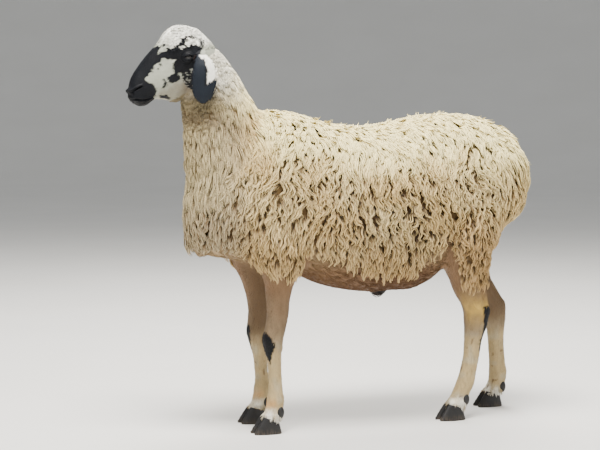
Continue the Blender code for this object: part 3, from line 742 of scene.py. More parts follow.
@dataclass(frozen=True)
class Eye:
    """One eye, its lids and its brow."""

    side: int
    head: HeadFrame = HeadFrame()
    at: tuple[float, float, float] = (0.0435, 0.0560, 0.0095)
    radius: float = 0.0140
    lid: float = 0.0026
    opening: tuple[float, float, float] = (0.0118, 0.012, 0.0042)
    tilt: float = math.radians(27.0)
    brow_at: tuple[float, float, float] = (0.0400, 0.0490, 0.0250)
    brow_radii: tuple[float, float, float] = (0.0230, 0.0120, 0.0070)

    def matrix(self) -> Matrix:
        """The eye's frame: X runs back along the slit, Z up across it."""
        return self.head.on_side(self.at, self.side, self.tilt)

    def lids(self) -> list[Surface]:
        """The upper and the lower lid and the brow, to be added to the head."""
        reach = self.radius + self.lid
        upper = ball((0.0, 0.0, 0.0018), (reach * 1.06, reach, reach * 0.98))
        lower = ball((0.0, self.side * -0.0006, -0.0012), (reach * 1.02, reach, reach))
        brow = ball((0, 0, 0), self.brow_radii).placed(
            self.head.on_side(self.brow_at, self.side, self.tilt)
        )
        return [upper.placed(self.matrix()), lower.placed(self.matrix()), brow]

    def hollows(self) -> list[Surface]:
        """The socket and the opening between the lids, to be cut from the head."""
        socket = ball((0, 0, 0), [self.radius + 0.0002] * 3)
        opening = ball((0, self.side * 0.0150, -0.0004), self.opening)
        return [socket.placed(self.matrix()), opening.placed(self.matrix())]

    def folds(self, points: Array) -> Array:
        """Heights of the wrinkles round the eye: rings of cosine that fade outwards.

        Below the slit they are deepest, at 14, 19 and 23 mm from its middle.
        """
        x, y, z = placed(points, self.matrix().inverted()).T
        around = np.hypot(x / 1.45, z * np.where(z < 0, 1.0, 0.9))
        near = bell(around, 0.0150, 0.0075) * (self.side * y > -0.006)
        depth = np.where(z < 0, 0.0010, 0.0004) * near
        return depth * np.cos((around - 0.0115) / 0.0047 * 2 * math.pi) - 0.5 * depth


@dataclass(frozen=True)
class Head:
    """The head, with its lips, nostrils and lids."""

    frame: HeadFrame = HeadFrame()
    fine: float = 0.0008  # the short hair stands this far off the skin
    boxed_across: float = 2.3
    boxed_up: float = 2.15
    mouth: tuple[tuple[float, float], ...] = (
        (0.1790, -0.0330), (0.1890, -0.0318), (0.2000, -0.0285), (0.2120, -0.0225),
        (0.2235, -0.0130),
    )
    mouth_front: tuple[tuple[float, float, float], ...] = (
        (0.2325, 0.0125, -0.0040), (0.2362, 0.0, -0.0020),
    )
    nostril: tuple[tuple[float, float], ...] = (
        (0.2240, 0.0060), (0.2228, 0.0104), (0.2140, 0.0110), (0.2040, 0.0103), (0.1935, 0.0088),
    )

    def surface(self, count: int = 110, sides: int = 96) -> Surface:
        """Rings along the head: (-s, half c, wide + rise s) with c and s boxed."""
        c = powered(np.cos(turned(sides)), self.boxed_across)
        s = powered(np.sin(turned(sides)), self.boxed_up)
        at, top, low, half, wide = columns(eased(HEAD, count))
        rise = np.where(s > 0, top - wide, wide - low) - self.fine
        rings = stacked(-at, (half - self.fine) * c, wide + rise * s)
        shape = lofted(rings).placed(self.frame.matrix())
        eyes = [Eye(-1, self.frame), Eye(1, self.frame)]
        shape = combined(shape, [lid for eye in eyes for lid in eye.lids()], "UNION")
        return combined(shape, [cut for eye in eyes for cut in eye.hollows()], "DIFFERENCE")

    def width_at(self, s: Array, t: Array) -> Array:
        """How far aside the surface is at (s, t): half (1 - v^p)^q, from the rings' formula."""
        _, top, low, half, wide = np.moveaxis(eased_at(HEAD, s), -1, 0)
        share = np.clip(np.where(t > wide, (t - wide) / (top - wide), (wide - t) / (wide - low)), 0, 1)
        sine = share ** (self.boxed_up / 2)
        return half * np.sqrt(1 - sine**2) ** (2 / self.boxed_across)

    def line(self, places: Sequence[tuple[float, float]], side: int) -> Array:
        """Points (s, side, t) on the surface at the given s and t."""
        table = eased_at([(i, *p) for i, p in enumerate(places)], np.linspace(0, len(places) - 1, 24))
        s, t = table[:, 1], table[:, 2]
        return stacked(s, side * self.width_at(s, t), t)

    def mouth_line(self) -> Array:
        """The line between the lips, from corner to corner."""
        left, right = self.line(self.mouth, -1), self.line(self.mouth, 1)
        s, aside, t = self.mouth_front[0]
        front = np.array([(s, -aside, t), self.mouth_front[1], (s, aside, t)])
        return np.concatenate([left, front, right[::-1]])

    def relief(self, points: Array) -> Array:
        """Heights of the head's small forms at its points.

        Bells exp(-(d / w)^2) of the distance d to the mouth line, the nostrils and the
        middle of the nose, with lips and rims beside them, and soft swells for the cheek
        and the ridge from the eye to the jaw.

        Args:
            points: Points of the skin, in the ram's frame.

        Returns:
            One height a point, outward.
        """
        s, side, t = self.frame.local(points)
        places = stacked(s, side, t)
        height = np.zeros(len(points))
        mouth = line_distance(places, self.mouth_line())
        lips = bell(mouth, 0.0044, 0.0030)
        height += 0.0016 * lips - 0.0042 * bell(mouth, 0.0, 0.0016)
        for one in (-1, 1):
            away = line_distance(places, self.line(self.nostril, one))
            rim = bell(away, 0.0050, 0.0024) * step(0.006, 0.014, t)
            height += 0.0020 * rim - 0.0075 * bell(away, 0.0, 0.0021)
            height += Eye(one, self.frame).folds(points)
        wing = bell(s, 0.226, 0.008, t, 0.016, 0.0065)
        height += 0.0085 * wing * bell(np.abs(side), 0.019, 0.008)
        middle = bell(side, 0.0, 0.0022) * step(0.214, 0.224, s) * step(-0.004, 0.004, t)
        height -= 0.0022 * middle
        cheek = bell(s, 0.060, 0.034, t, -0.040, 0.030)
        crest = bell(t + 0.010 + 0.18 * (s - 0.08), 0.0, 0.007) * step(0.05, 0.08, s)
        crest *= step(0.150, 0.120, s)
        hollow = bell(s, 0.100, 0.030, t, 0.028, 0.016)
        outer = step(0.012, 0.030, np.abs(side))
        height += outer * (0.0035 * cheek + 0.0022 * crest - 0.0024 * hollow)
        chin = bell(s, 0.205, 0.012, t, -0.040, 0.008)
        return height + 0.0020 * chin


# The skin


@dataclass(frozen=True)
class Lens:
    """A place where space is drawn larger or smaller: r' = r (1 + (power - 1) exp(-(r / reach)^2))."""

    centre: Array
    power: float
    reach: float

    def drawn(self, radius: Array) -> Array:
        """The radius at which a radius is drawn."""
        return radius * (1 + (self.power - 1) * bell(radius, 0.0, self.reach))

    def grown(self, points: Array) -> Array:
        """Points as they are drawn."""
        out = points - self.centre
        radius = np.maximum(np.linalg.norm(out, axis=1, keepdims=True), 1e-9)
        return self.centre + out * (self.drawn(radius) / radius)

    def shrunk(self, points: Array) -> Array:
        """Drawn points, back in their places, by reading the formula as a table."""
        out = points - self.centre
        radius = np.maximum(np.linalg.norm(out, axis=1, keepdims=True), 1e-9)
        table = np.linspace(0.0, 1.6, 6001) ** 2
        return self.centre + out * (np.interp(radius, self.drawn(table), table) / radius)


@dataclass(frozen=True)
class Body:
    """The whole body as closed forms, and the fields that its skin and coat are made from."""

    frame: HeadFrame = HeadFrame()
    trunk: Trunk = Trunk()
    neck: Neck = Neck()
    voxel: float = 0.0058
    coronet_top: float = 0.058
    barrel_lens: tuple[float, float, float, float, float] = (0.16, 0.0, 0.66, 0.5, 0.45)
    head_lenses: tuple[tuple[float, float, float, float, float], ...] = (
        (0.090, 0.0, -0.010, 2.6, 0.30),  # the whole head: s, side, t, power, reach
        (0.208, 0.0, -0.006, 1.9, 0.15),  # the muzzle
        (0.0435, -0.060, 0.0095, 2.2, 0.085),  # each eye
        (0.0435, 0.060, 0.0095, 2.2, 0.085),
    )

    def legs(self) -> tuple[Leg, ...]:
        """The four legs."""
        return (
            Leg(FORELEG, -1, "fore_left"), Leg(FORELEG, 1, "fore_right"),
            Leg(HINDLEG, -1, "hind_left"), Leg(HINDLEG, 1, "hind_right"),
        )

    def ears(self) -> tuple[Ear, Ear]:
        """The left and the right ear."""
        return Ear(-1, self.frame), Ear(1, self.frame)

    def forms(self) -> Surface:
        """Every closed form of the body in one mesh, still passing through one another."""
        pieces = [*self.trunk.surfaces(), self.neck.surface(), Head(self.frame).surface()]
        pieces += [leg.surface() for leg in self.legs()] + [ear.surface() for ear in self.ears()]
        return joined(pieces)

    def drawn_larger(self) -> list[Lens]:
        """The lenses, each with its centre where the ones before it draw it."""
        *barrel, power, reach = self.barrel_lens
        made = [Lens(np.array(barrel), power, reach)]
        for s, side, t, power, reach in self.head_lenses:
            centre = placed(np.array([(-s, side, t)]), self.frame.matrix())
            for lens in made:
                centre = lens.grown(centre)
            made.append(Lens(centre[0], power, reach))
        return made

    def wrapped(self) -> Surface:
        """One closed skin round all forms, of even faces in the space that the lenses draw.

        The faces are then small on the head, least round the eyes, and larger on the body.
        """
        forms = self.forms()
        lenses = self.drawn_larger()
        for lens in lenses:
            forms.points = lens.grown(forms.points)
        obj = mesh_object("wrap", forms)
        remesh = obj.modifiers.new("wrap", "REMESH")
        remesh.mode, remesh.voxel_size, remesh.use_smooth_shade = "VOXEL", self.voxel, True
        skin = surface_of(obj)
        for lens in lenses[::-1]:
            skin.points = lens.shrunk(skin.points)
        return skin

    def head_side(self, points: Array) -> Array:
        """How far points are on the head's side of a slanted plane through the poll."""
        return (points - np.array(self.frame.at)) @ np.array((-0.86, 0.0, 0.51))

    def above_edge(self, points: Array) -> Array:
        """How high points are above the lower edge of the fleece, which is a little ragged."""
        ragged = 0.008 * rough(points, 0.03, 3)
        return points[:, 2] - np.interp(points[:, 0], *FLEECE_EDGE.T) + ragged

    def zones(self, points: Array, normals: Array) -> Array:
        """Which Zone each point is in, as its number."""
        x, y, z = points.T
        head = self.head_side(points)
        s, _, t = self.frame.local(points)
        near = (z > HEAD_HEIGHT) & (head > -0.030 + 0.010 * rough(points, 0.02, 5))
        throat = (t < -0.072 + 0.006 * rough(points, 0.02, 6)) & (s < 0.150) | (t < -0.02) & (s < 0.012)
        ear = np.any([ear.holds(points) for ear in self.ears()], axis=0) & (z > HEAD_HEIGHT)
        leg = np.any([leg.holds(points) for leg in self.legs()], axis=0) & (z < 0.56)
        edge = self.above_edge(points)
        limb = (z < 0.55) & ((x > 0.43) | ((x > -0.17) & (x < -0.03)))
        bare = (edge < np.where(limb, 0.010, 0.030)) | (normals[:, 2] < -0.72)
        bare |= leg & (normals[:, 1] * y < 0) | (np.abs(y) < 0.048) & (z < 0.52) & (x > -0.2)
        poll = near & (t > 0.014 + 0.55 * s) & (s < 0.09)
        nape = (z > HEAD_HEIGHT) & (head > -0.105 + 0.030 * rough(points, 0.016, 7))
        kinds = [
            (ear, Zone.EAR), (near & throat, Zone.NAPE), (poll, Zone.POLL), (near, Zone.FACE),
            (nape, Zone.NAPE), (leg & (z < self.coronet_top), Zone.CORONET),
            (bare & ((z < 0.33) | leg), Zone.LEG), (bare, Zone.BELLY),
            ((x < -0.09) & (z > 0.60 + 1.1 * (x + 0.36)), Zone.NECK),
            ((x > 0.56) & (z > 0.56) & (z < 0.84), Zone.RUMP), (limb, Zone.LIMB),
        ]
        return np.select([k for k, _ in kinds], [z.value for _, z in kinds], Zone.BODY.value)


@dataclass
class Hide:
    """The finished skin: its surface, normals and zones."""

    body: Body
    surface: Surface
    normals: Array
    zone: Array

    @classmethod
    def grown(cls, body: Body) -> "Hide":
        """Wraps the body, smooths the joints of its forms and raises its small forms."""
        skin = body.wrapped()
        head = body.head_side(skin.points)
        firm = step(-0.10, 0.02, head) * (skin.points[:, 2] > HEAD_HEIGHT)
        low = step(0.44, 0.36, skin.points[:, 2])
        skin = smoothed(skin, 26, 0.5 * (1 - firm) * (1 - 0.75 * low))
        skin = smoothed(skin, 3, np.full(len(skin.points), 0.5))
        normals = skin.normals()
        height = cls.relief(body, skin.points, firm > 0.3)
        skin.points = skin.points + normals * height[:, None]
        skin = smoothed(skin, 1, np.full(len(skin.points), 0.3))
        skin = skin.outward()
        normals = skin.normals()
        return cls(body, skin, normals, body.zones(skin.points, normals))

    @staticmethod
    def relief(body: Body, points: Array, on_head: Array) -> Array:
        """Heights of all small forms: the head's, and the grooves and points of the legs."""
        height = np.zeros(len(points))
        height[on_head] = Head(body.frame).relief(points[on_head])
        for leg in body.legs():
            held = leg.holds(points) & (points[:, 2] < 0.46)
            height[held] += leg_relief(leg, points[held])
        return height

    def coarse(self, every: int = 9) -> tuple[Array, Array]:
        """One point in every so many, and the normals there."""
        return self.surface.points[::every], self.normals[::every]

    def ground(self, points: Array) -> tuple[Array, Array]:
        """Where points come down on the skin, by the plane at the nearest of its coarse points.

        Args:
            points: Points near the skin.

        Returns:
            The places on the skin, and the normals there.
        """
        places, normals = self.coarse()
        found = np.empty(len(points), int)
        square = (places**2).sum(1)
        for start in range(0, len(points), 4000):
            some = points[start : start + 4000]
            found[start : start + 4000] = np.argmin(square - 2 * some @ places.T, axis=1)
        normal = normals[found]
        off = ((points - places[found]) * normal).sum(1, keepdims=True)
        return points - off * normal, normal


def leg_relief(leg: Leg, points: Array) -> Array:
    """Grooves between bone and tendon, the hollow over the hock, and the knee's small bones.

    Args:
        leg: The leg.
        points: Its points.

    Returns:
        One height a point.
    """
    back, out = leg.local(points)
    z = points[:, 2]
    hind = leg.rows is HINDLEG
    sides = step(0.35, 0.8, np.abs(out))
    groove = bell(back, 0.30, 0.22) * sides
    shaft = step(0.105, 0.135, z) * step(0.25 if hind else 0.225, 0.19, z)
    height = -0.0030 * groove * shaft
    height += 0.0045 * bell(z, 0.060, 0.016) * step(0.3, 0.9, back)
    if hind:
        over = bell(back, 0.42, 0.24) * sides
        height -= 0.0055 * over * step(0.315, 0.345, z) * step(0.44, 0.39, z)
        point = bell(z, 0.318, 0.016) * step(0.5, 0.95, back)
        return height + 0.0030 * point - 0.0022 * groove * step(0.24, 0.27, z) * step(0.31, 0.28, z)
    knee = bell(z, 0.268, 0.020)
    height += 0.0016 * knee * step(0.2, 0.9, -back)
    return height + 0.0022 * bell(z, 0.240, 0.010) * step(0.5, 0.95, back)


def smoothed(surface: Surface, rounds: int, share: Array) -> Surface:
    """Evens a surface out without shrinking it.

    Each round moves a point by share of the way to the middle of its neighbours, then back
    by 1.04 of that.

    Args:
        surface: The surface.
        rounds: How many rounds.
        share: How far, one number a point.

    Returns:
        The surface with its points moved.
    """
    quads, tris = surface.quads, surface.tris
    pairs = [faces[:, [i, (i + 1) % n]] for faces, n in ((quads, 4), (tris, 3)) for i in range(n)]
    edges = np.unique(np.sort(np.concatenate(pairs), axis=1), axis=0)
    ends = np.concatenate([edges, edges[:, ::-1]])
    points, count = surface.points, np.bincount(ends[:, 0], minlength=len(surface.points))
    for _ in range(rounds):
        for way in (share, -1.04 * share):
            middle = summed(ends[:, 0], points[ends[:, 1]], len(points)) / count[:, None]
            points = points + (middle - points) * way[:, None]
    return Surface(points, quads, tris)


# Markings

# The black of the face, from the bridge of the nose back over the eye and forward again over the
# cheek to the muzzle, its small patches, and the stretch of cheek with spots only, as outlines in
# (s, t) of the head's frame.
FACE_BLACK = np.array((
    (109, 125), (109, 81), (95, 78), (79, 76), (72, 73), (74, 68), (83, 71), (92, 71), (100, 66),
    (109, 60), (105, 57), (100, 62), (93, 57), (83, 57), (83, 61), (74, 61), (64, 57), (59, 62),
    (52, 68), (51, 61), (39, 61), (31, 63), (19, 62), (4, 51), (13, 52), (24, 59), (30, 55), (40, 50),
    (53, 45), (43, 38), (34, 41), (19, 34), (10, 36), (6, 28), (2, 17), (-6, 18), (-6, 32), (-6, 37),
    (-13, 28), (-13, 20), (-2, 13), (5, 5), (14, -3), (17, -11), (30, -26), (49, -24), (58, -19),
    (69, -21), (79, -24), (83, -17), (93, -12), (90, -20), (90, -29), (97, -32), (107, -31),
    (115, -29), (125, -22), (123, -12), (119, -8), (97, -7), (97, -3), (91, 15), (78, 21), (83, 27),
    (93, 33), (98, 41), (104, 46), (111, 40), (120, 33), (118, 40), (132, 40), (136, 37), (138, 30),
    (147, 35), (145, 25), (156, 30), (160, 25), (173, 23), (175, 19), (171, 7), (162, -1), (163, -8),
    (164, -19), (163, -24), (173, -31), (180, -34), (184, -100), (300, -100), (300, 125),
)) / 1000
SMALL_BLACK = [np.array(outline) / 1000 for outline in (
    ((133, -4), (128, -8), (130, -19), (134, -24), (142, -29), (147, -24), (140, -18), (134, -12)),
    ((167, -31), (159, -42), (150, -43), (147, -47), (142, -59), (146, -63), (155, -54), (165, -46)),
    ((118, 37), (113, 31), (118, 27), (121, 32)),
    ((131, 28), (127, 25), (129, 23), (132, 26)),
    ((38, 64), (30, 67), (21, 66), (14, 58), (3, 54), (4, 49), (16, 50), (23, 59), (29, 60), (29, 52),
     (34, 53), (34, 60)),
    ((-7, 38), (-12, 34), (-14, 25), (-9, 16), (-4, 19), (-3, 28)),
)]
MOTTLED = np.array((
    (74, -12), (56, -14), (40, -24), (52, -50), (66, -60), (80, -72), (90, -60), (90, -39), (87, -22),
)) / 1000
# Patches of the legs, as outlines in degrees round the leg, from its front to its outer side,
# and height in units of one millimetre.
KNEE_BLACK = (
    (-30, 283), (-10, 290), (20, 288), (50, 275), (78, 258), (84, 246), (60, 222), (45, 205),
    (35, 192), (10, 215), (-10, 235), (-30, 250),
)
HOCK_BLACK = (
    (112, 334), (166, 336), (170, 300), (163, 262), (154, 225), (144, 200), (128, 198), (122, 230),
    (122, 262), (112, 290), (106, 315),
)


class Dye(Enum):
    """The colours of the coat and the bare skin."""

    BLACK = (9, 10, 15)
    SLATE = (25, 31, 40)
    WHITE = (253, 251, 240)
    CHALK = (170, 173, 158)
    ASH = (150, 151, 144)
    TAN = (170, 146, 110)
    CREAM = (250, 224, 162)
    BRIGHT = (255, 239, 172)
    STRAW = (236, 204, 138)
    SAND = (204, 168, 112)
    PALE = (184, 170, 140)
    SOIL = (74, 52, 27)
    DUST = (128, 100, 60)
    BROWN = (122, 92, 64)
    DARK_BROWN = (88, 62, 44)
    SHIN = (176, 155, 114)
    GREY = (120, 101, 78)
    YELLOW = (216, 178, 84)
    ORANGE = (206, 150, 84)
    UMBER = (102, 82, 60)
    PINK = (176, 132, 112)

    @property
    def linear(self) -> Array:
        """The colour as light."""
        return srgb(*self.value)


def dyed(tint: Array, *layers: tuple[Dye, Array]) -> Array:
    """A colour under layers, each a dye and the share of it that covers, one a row."""
    for dye, share in layers:
        tint = mixed(tint, dye.linear, share)
    return tint


@dataclass(frozen=True)
class Markings:
    """The colours of skin and coat at any place, from outlines, heights and noise."""

    body: Body

    def face_black(self, points: Array) -> Array:
        """How far inside the black of the face points are, with a ragged edge."""
        s, _, t = self.body.frame.local(points)
        places = stacked(s, t)
        black = inside(places, FACE_BLACK)
        for outline in SMALL_BLACK:
            black = np.maximum(black, inside(places, outline))
        ragged = 0.0016 * rough(points, 0.006, 4) + 0.0013 * rough(points, (0.005, 0.0016, 0.0016), 6)
        web = inside(places, MOTTLED) > 0.002 * rough(points, 0.006, 12)
        grain = 0.6 * rough(points, 0.0050, 8) + 0.5 * rough(points, (0.006, 0.0022, 0.0022), 27)
        spots = np.where(web, 0.004 * (grain + 0.26), -1.0)
        return np.maximum(black + ragged, spots)

    def head(self, points: Array) -> Array:
        """Colours of the face and the poll."""
        s, _, t = self.body.frame.local(points)
        # The lower cheek and the jaw turn greyer and browner downwards: a painted shade on the underside of
        # the head.
        low = step(-0.016, -0.048, t + 0.010 * rough(points, 0.012, 2)) * step(0.19, 0.16, s)
        jaw_shade = step(-0.036, -0.068, t + 0.012 * rough(points, 0.010, 28)) * step(0.130, 0.075, s)
        web = step(-0.002, 0.003, inside(stacked(s, t), MOTTLED))
        streak = step(0.25, 0.75, rough(points, (0.012, 0.003, 0.003), 19))
        pale = dyed(
            Dye.CHALK.linear,
            (Dye.WHITE, step(0.10, 0.05, s) * step(0.0, 0.03, t)),
            (Dye.GREY, 0.45 * low),
            (Dye.UMBER, 0.75 * jaw_shade),
            (Dye.ASH, 0.7 * web),
            (Dye.ASH, 0.35 * streak * step(0.02, 0.06, s)),
        )
        # Soft patches of slate in the black are a painted sheen.
        black = dyed(Dye.BLACK.linear, (Dye.SLATE, 0.25 * (0.5 + 0.5 * rough(points, 0.02, 9))))
        return mixed(pale, black, step(-0.0004, 0.0004, self.face_black(points)))

    def ears(self, points: Array) -> Array:
        """Colours of the ears: slate, white behind down to two thirds, with a few dark flecks."""
        tint = np.tile(Dye.SLATE.linear, (len(points), 1))
        for ear in self.body.ears():
            held = ear.holds(points)
            drop, across, off = ear.local(points[held])
            noise = 0.04 * rough(points[held], 0.008, 7) + 0.03 * rough(points[held], 0.004, 8)
            back, low = across + noise, drop + 0.040 * across + 0.1 * noise
            white = step(0.53, 0.56, back) * step(0.110, 0.107, low)
            white = np.maximum(white, step(0.018, 0.014, drop + 0.1 * noise) * step(0.2, 0.3, across))
            rim = step(0.44, 0.50, back) * step(0.58, 0.55, back) * step(0.118, 0.108, low)
            fleck = step(0.66, 0.76, rough(points[held], 0.008, 12))
            outer = dyed(
                Dye.SLATE.linear,
                (Dye.BLACK, np.maximum(rim, 0.6 * step(0.08, 0.0, across))),
                (Dye.WHITE, white * (1 - 0.8 * fleck)),
            )
            inner = step(0.0, -0.0015, off) * (1 - 0.7 * white)
            tint[held] = mixed(outer, dyed(Dye.BLACK.linear, (Dye.PINK, np.full(1, 0.08))), 0.8 * inner)
        return tint

    def legs(self, points: Array) -> Array:
        """Colours of the bare legs."""
        z = points[:, 2]
        tint = dyed(
            Dye.SHIN.linear,
            (Dye.GREY, step(0.20, 0.30, z + 0.02 * rough(points, 0.02, 4))),
            (Dye.BROWN, 0.75 * step(0.30, 0.42, z + 0.03 * rough(points, 0.04, 5))),
            (Dye.CHALK, 0.30 * step(0.1, 0.7, rough(points, 0.02, 14)) * step(0.3, 0.2, z)),
        )
        tint = tint * (1 + 0.16 * rough(points, (0.005, 0.005, 0.016), 25))[:, None]
        hem = step(0.080, 0.052, z) * step(-0.5, 0.4, rough(points, 0.015, 26))
        tint = dyed(tint, (Dye.WHITE, 0.8 * hem))
        for leg in self.body.legs():
            held = leg.holds(points)
            tint[held] = self.one_leg(leg, points[held], tint[held])
        spots = step(0.74, 0.80, rough(points, 0.011, 15)) * (z < 0.24)
        return dyed(tint, (Dye.DARK_BROWN, 0.8 * spots))

    def one_leg(self, leg: Leg, points: Array, tint: Array) -> Array:
        """Adds a leg's own patches to its colours.

        Args:
            leg: The leg.
            points: Its points.
            tint: Their colours so far.

        Returns:
            Their colours.
        """
        back, out = leg.local(points)
        z = points[:, 2]
        inner = step(0.1, 0.8, -out) * step(0.22, 0.32, z)
        tint = dyed(tint, (Dye.UMBER, 0.75 * inner))
        round_leg = np.degrees(np.arctan2(out, -back))
        round_leg = np.where(round_leg < -90, round_leg + 360, round_leg)
        places = stacked(round_leg, z * 1000)
        ragged = 2.5 * rough(points, 0.006, 16)
        if leg.rows is HINDLEG:
            stain = bell(z, 0.325, 0.035) * step(-0.2, 0.6, out)
            tint = dyed(tint, (Dye.YELLOW, 0.80 * stain * (0.7 + 0.3 * rough(points, 0.01, 17))))
            outline = HOCK_BLACK
        else:
            stain = bell(z, 0.085, 0.014) * step(0.3, -0.6, back)
            tint = dyed(tint, (Dye.ORANGE, 0.45 * stain))
            outline = KNEE_BLACK
        return dyed(tint, (Dye.BLACK, step(-0.8, 0.8, inside(places, outline) + ragged)))

    def belly(self, points: Array) -> Array:
        """Colours of the belly and the folds in front of the thighs; the sheath is near black."""
        low = step(0.46, 0.39, points[:, 2] + 0.02 * rough(points, 0.05, 18))
        brown = step(0.53, 0.44, points[:, 2])
        tint = dyed(Dye.TAN.linear, (Dye.BROWN, brown), (Dye.DARK_BROWN, 0.7 * low))
        away = np.linalg.norm(points - np.array(self.body.trunk.sheath_at), axis=1)
        return dyed(0.84 * tint, (Dye.BLACK, 0.9 * step(0.036, 0.026, away)))

    def fleece(self, points: Array, normals: Array) -> tuple[Array, Array]:
        """Colours of the fleece at its tips and between the locks.

        Args:
            points: Where the locks grow.
            normals: The skin's normals there.

        Returns:
            The light and the dark colour of each lock.
        """
        x, _, z = points.T
        clean_and_top_lit = self.calm(points, normals)
        rump = step(0.66, 0.80, z) * step(0.40, 0.52, x)
        white = step(-0.17, -0.06, self.body.head_side(points)) * step(0.92, 0.98, z)
        throat = step(-0.20, -0.30, x) * step(1.00, 0.95, z) * step(0.86, 0.90, z)
        light = dyed(
            Dye.CREAM.linear,
            (Dye.STRAW, step(-0.35, 0.55, rough(points, 0.09, 20))),
            # Darker and browner low on the body and on the thigh: partly dirt, partly painted shade.
            (Dye.SAND, 0.75 * step(0.68, 0.52, z) * step(0.30, 0.45, x)),
            (Dye.SAND, 0.7 * step(0.66, 0.48, z)),
            (Dye.PALE, 0.8 * step(-0.16, -0.26, x)),
            # Brighter along the back where it faces up, and behind the head: cleaner wool, and on the back
            # also a painted light from above.
            (Dye.BRIGHT, 0.9 * clean_and_top_lit),
            (Dye.BRIGHT, 0.6 * rump),
            (Dye.WHITE, 0.8 * white),
            (Dye.TAN, 0.65 * throat),
        )
        # The throat is darkened over its tan: a painted shade under the neck.
        light = light * (1 - 0.55 * throat[:, None])
        soiled = bell(x, 0.24, 0.18, z, 0.61, 0.14)
        soiled = np.clip(soiled + 0.35 * rough(points, 0.06, 21), 0, 1) * (1 - clean_and_top_lit)
        dark = dyed(Dye.DUST.linear, (Dye.SOIL, 0.35 + 0.65 * soiled))
        neck = 0.25 * step(-0.10, -0.18, x) * step(0.62, 0.70, z)
        return light, mixed(dark, light, np.max([0.9 * clean_and_top_lit, 0.9 * white, neck, 0.5 * rump], axis=0))

    def calm(self, points: Array, normals: Array) -> Array:
        """How smooth and clean the fleece is: along the back and behind the head; where the back faces up
        it also gives the fleece a painted light.
        """
        x, _, z = points.T
        top = step(0.10, 0.65, normals[:, 2] + 0.22 * rough(points, 0.06, 44)) * step(0.68, 0.82, z)
        head = step(-0.26, -0.06, self.body.head_side(points)) * step(0.86, 0.94, z)
        return np.maximum(np.maximum(top, head), 0.25 * step(-0.20, -0.28, x) * step(0.62, 0.72, z))

    def skin(self, points: Array, normals: Array, zone: Array) -> Array:
        """Colours of the skin at its points; under the fleece they are the fleece's dark ones."""
        tint = 0.85 * self.fleece(points, normals)[1]
        for kind, colours in (
            (Zone.FACE, self.head), (Zone.POLL, self.head), (Zone.EAR, self.ears),
            (Zone.LEG, self.legs), (Zone.CORONET, self.legs), (Zone.BELLY, self.belly),
        ):
            held = zone == kind.value
            tint[held] = colours(points[held])
        return tint


# Shader maths


class Sock:
    """A socket of a shader that takes part in Python arithmetic on numbers."""

    def __init__(self, shader: "Shader", socket: bpy.types.NodeSocket) -> None:
        """Wraps a socket of a shader."""
        self.shader = shader
        self.socket = socket

    def maths(self, operation: str, *others: Any) -> "Sock":
        """A Math node of this and the others."""
        return self.shader.node("ShaderNodeMath", {"operation": operation}, *others)

    def __add__(self, other: Any) -> "Sock":
        """The sum."""
        return self.maths("ADD", self, other)

    __radd__ = __add__

    def __sub__(self, other: Any) -> "Sock":
        """The difference."""
        return self.maths("SUBTRACT", self, other)

    def __rsub__(self, other: Any) -> "Sock":
        """The difference the other way round."""
        return self.maths("SUBTRACT", other, self)

    def __mul__(self, other: Any) -> "Sock":
        """The product."""
        return self.maths("MULTIPLY", self, other)

    __rmul__ = __mul__

    def between(self, low: float, high: float) -> "Sock":
        """0 below low, 1 above high, smooth between."""
        return self.shader.node(
            "ShaderNodeMapRange", {"interpolation_type": "SMOOTHSTEP"}, self, low, high, 0.0, 1.0
        )


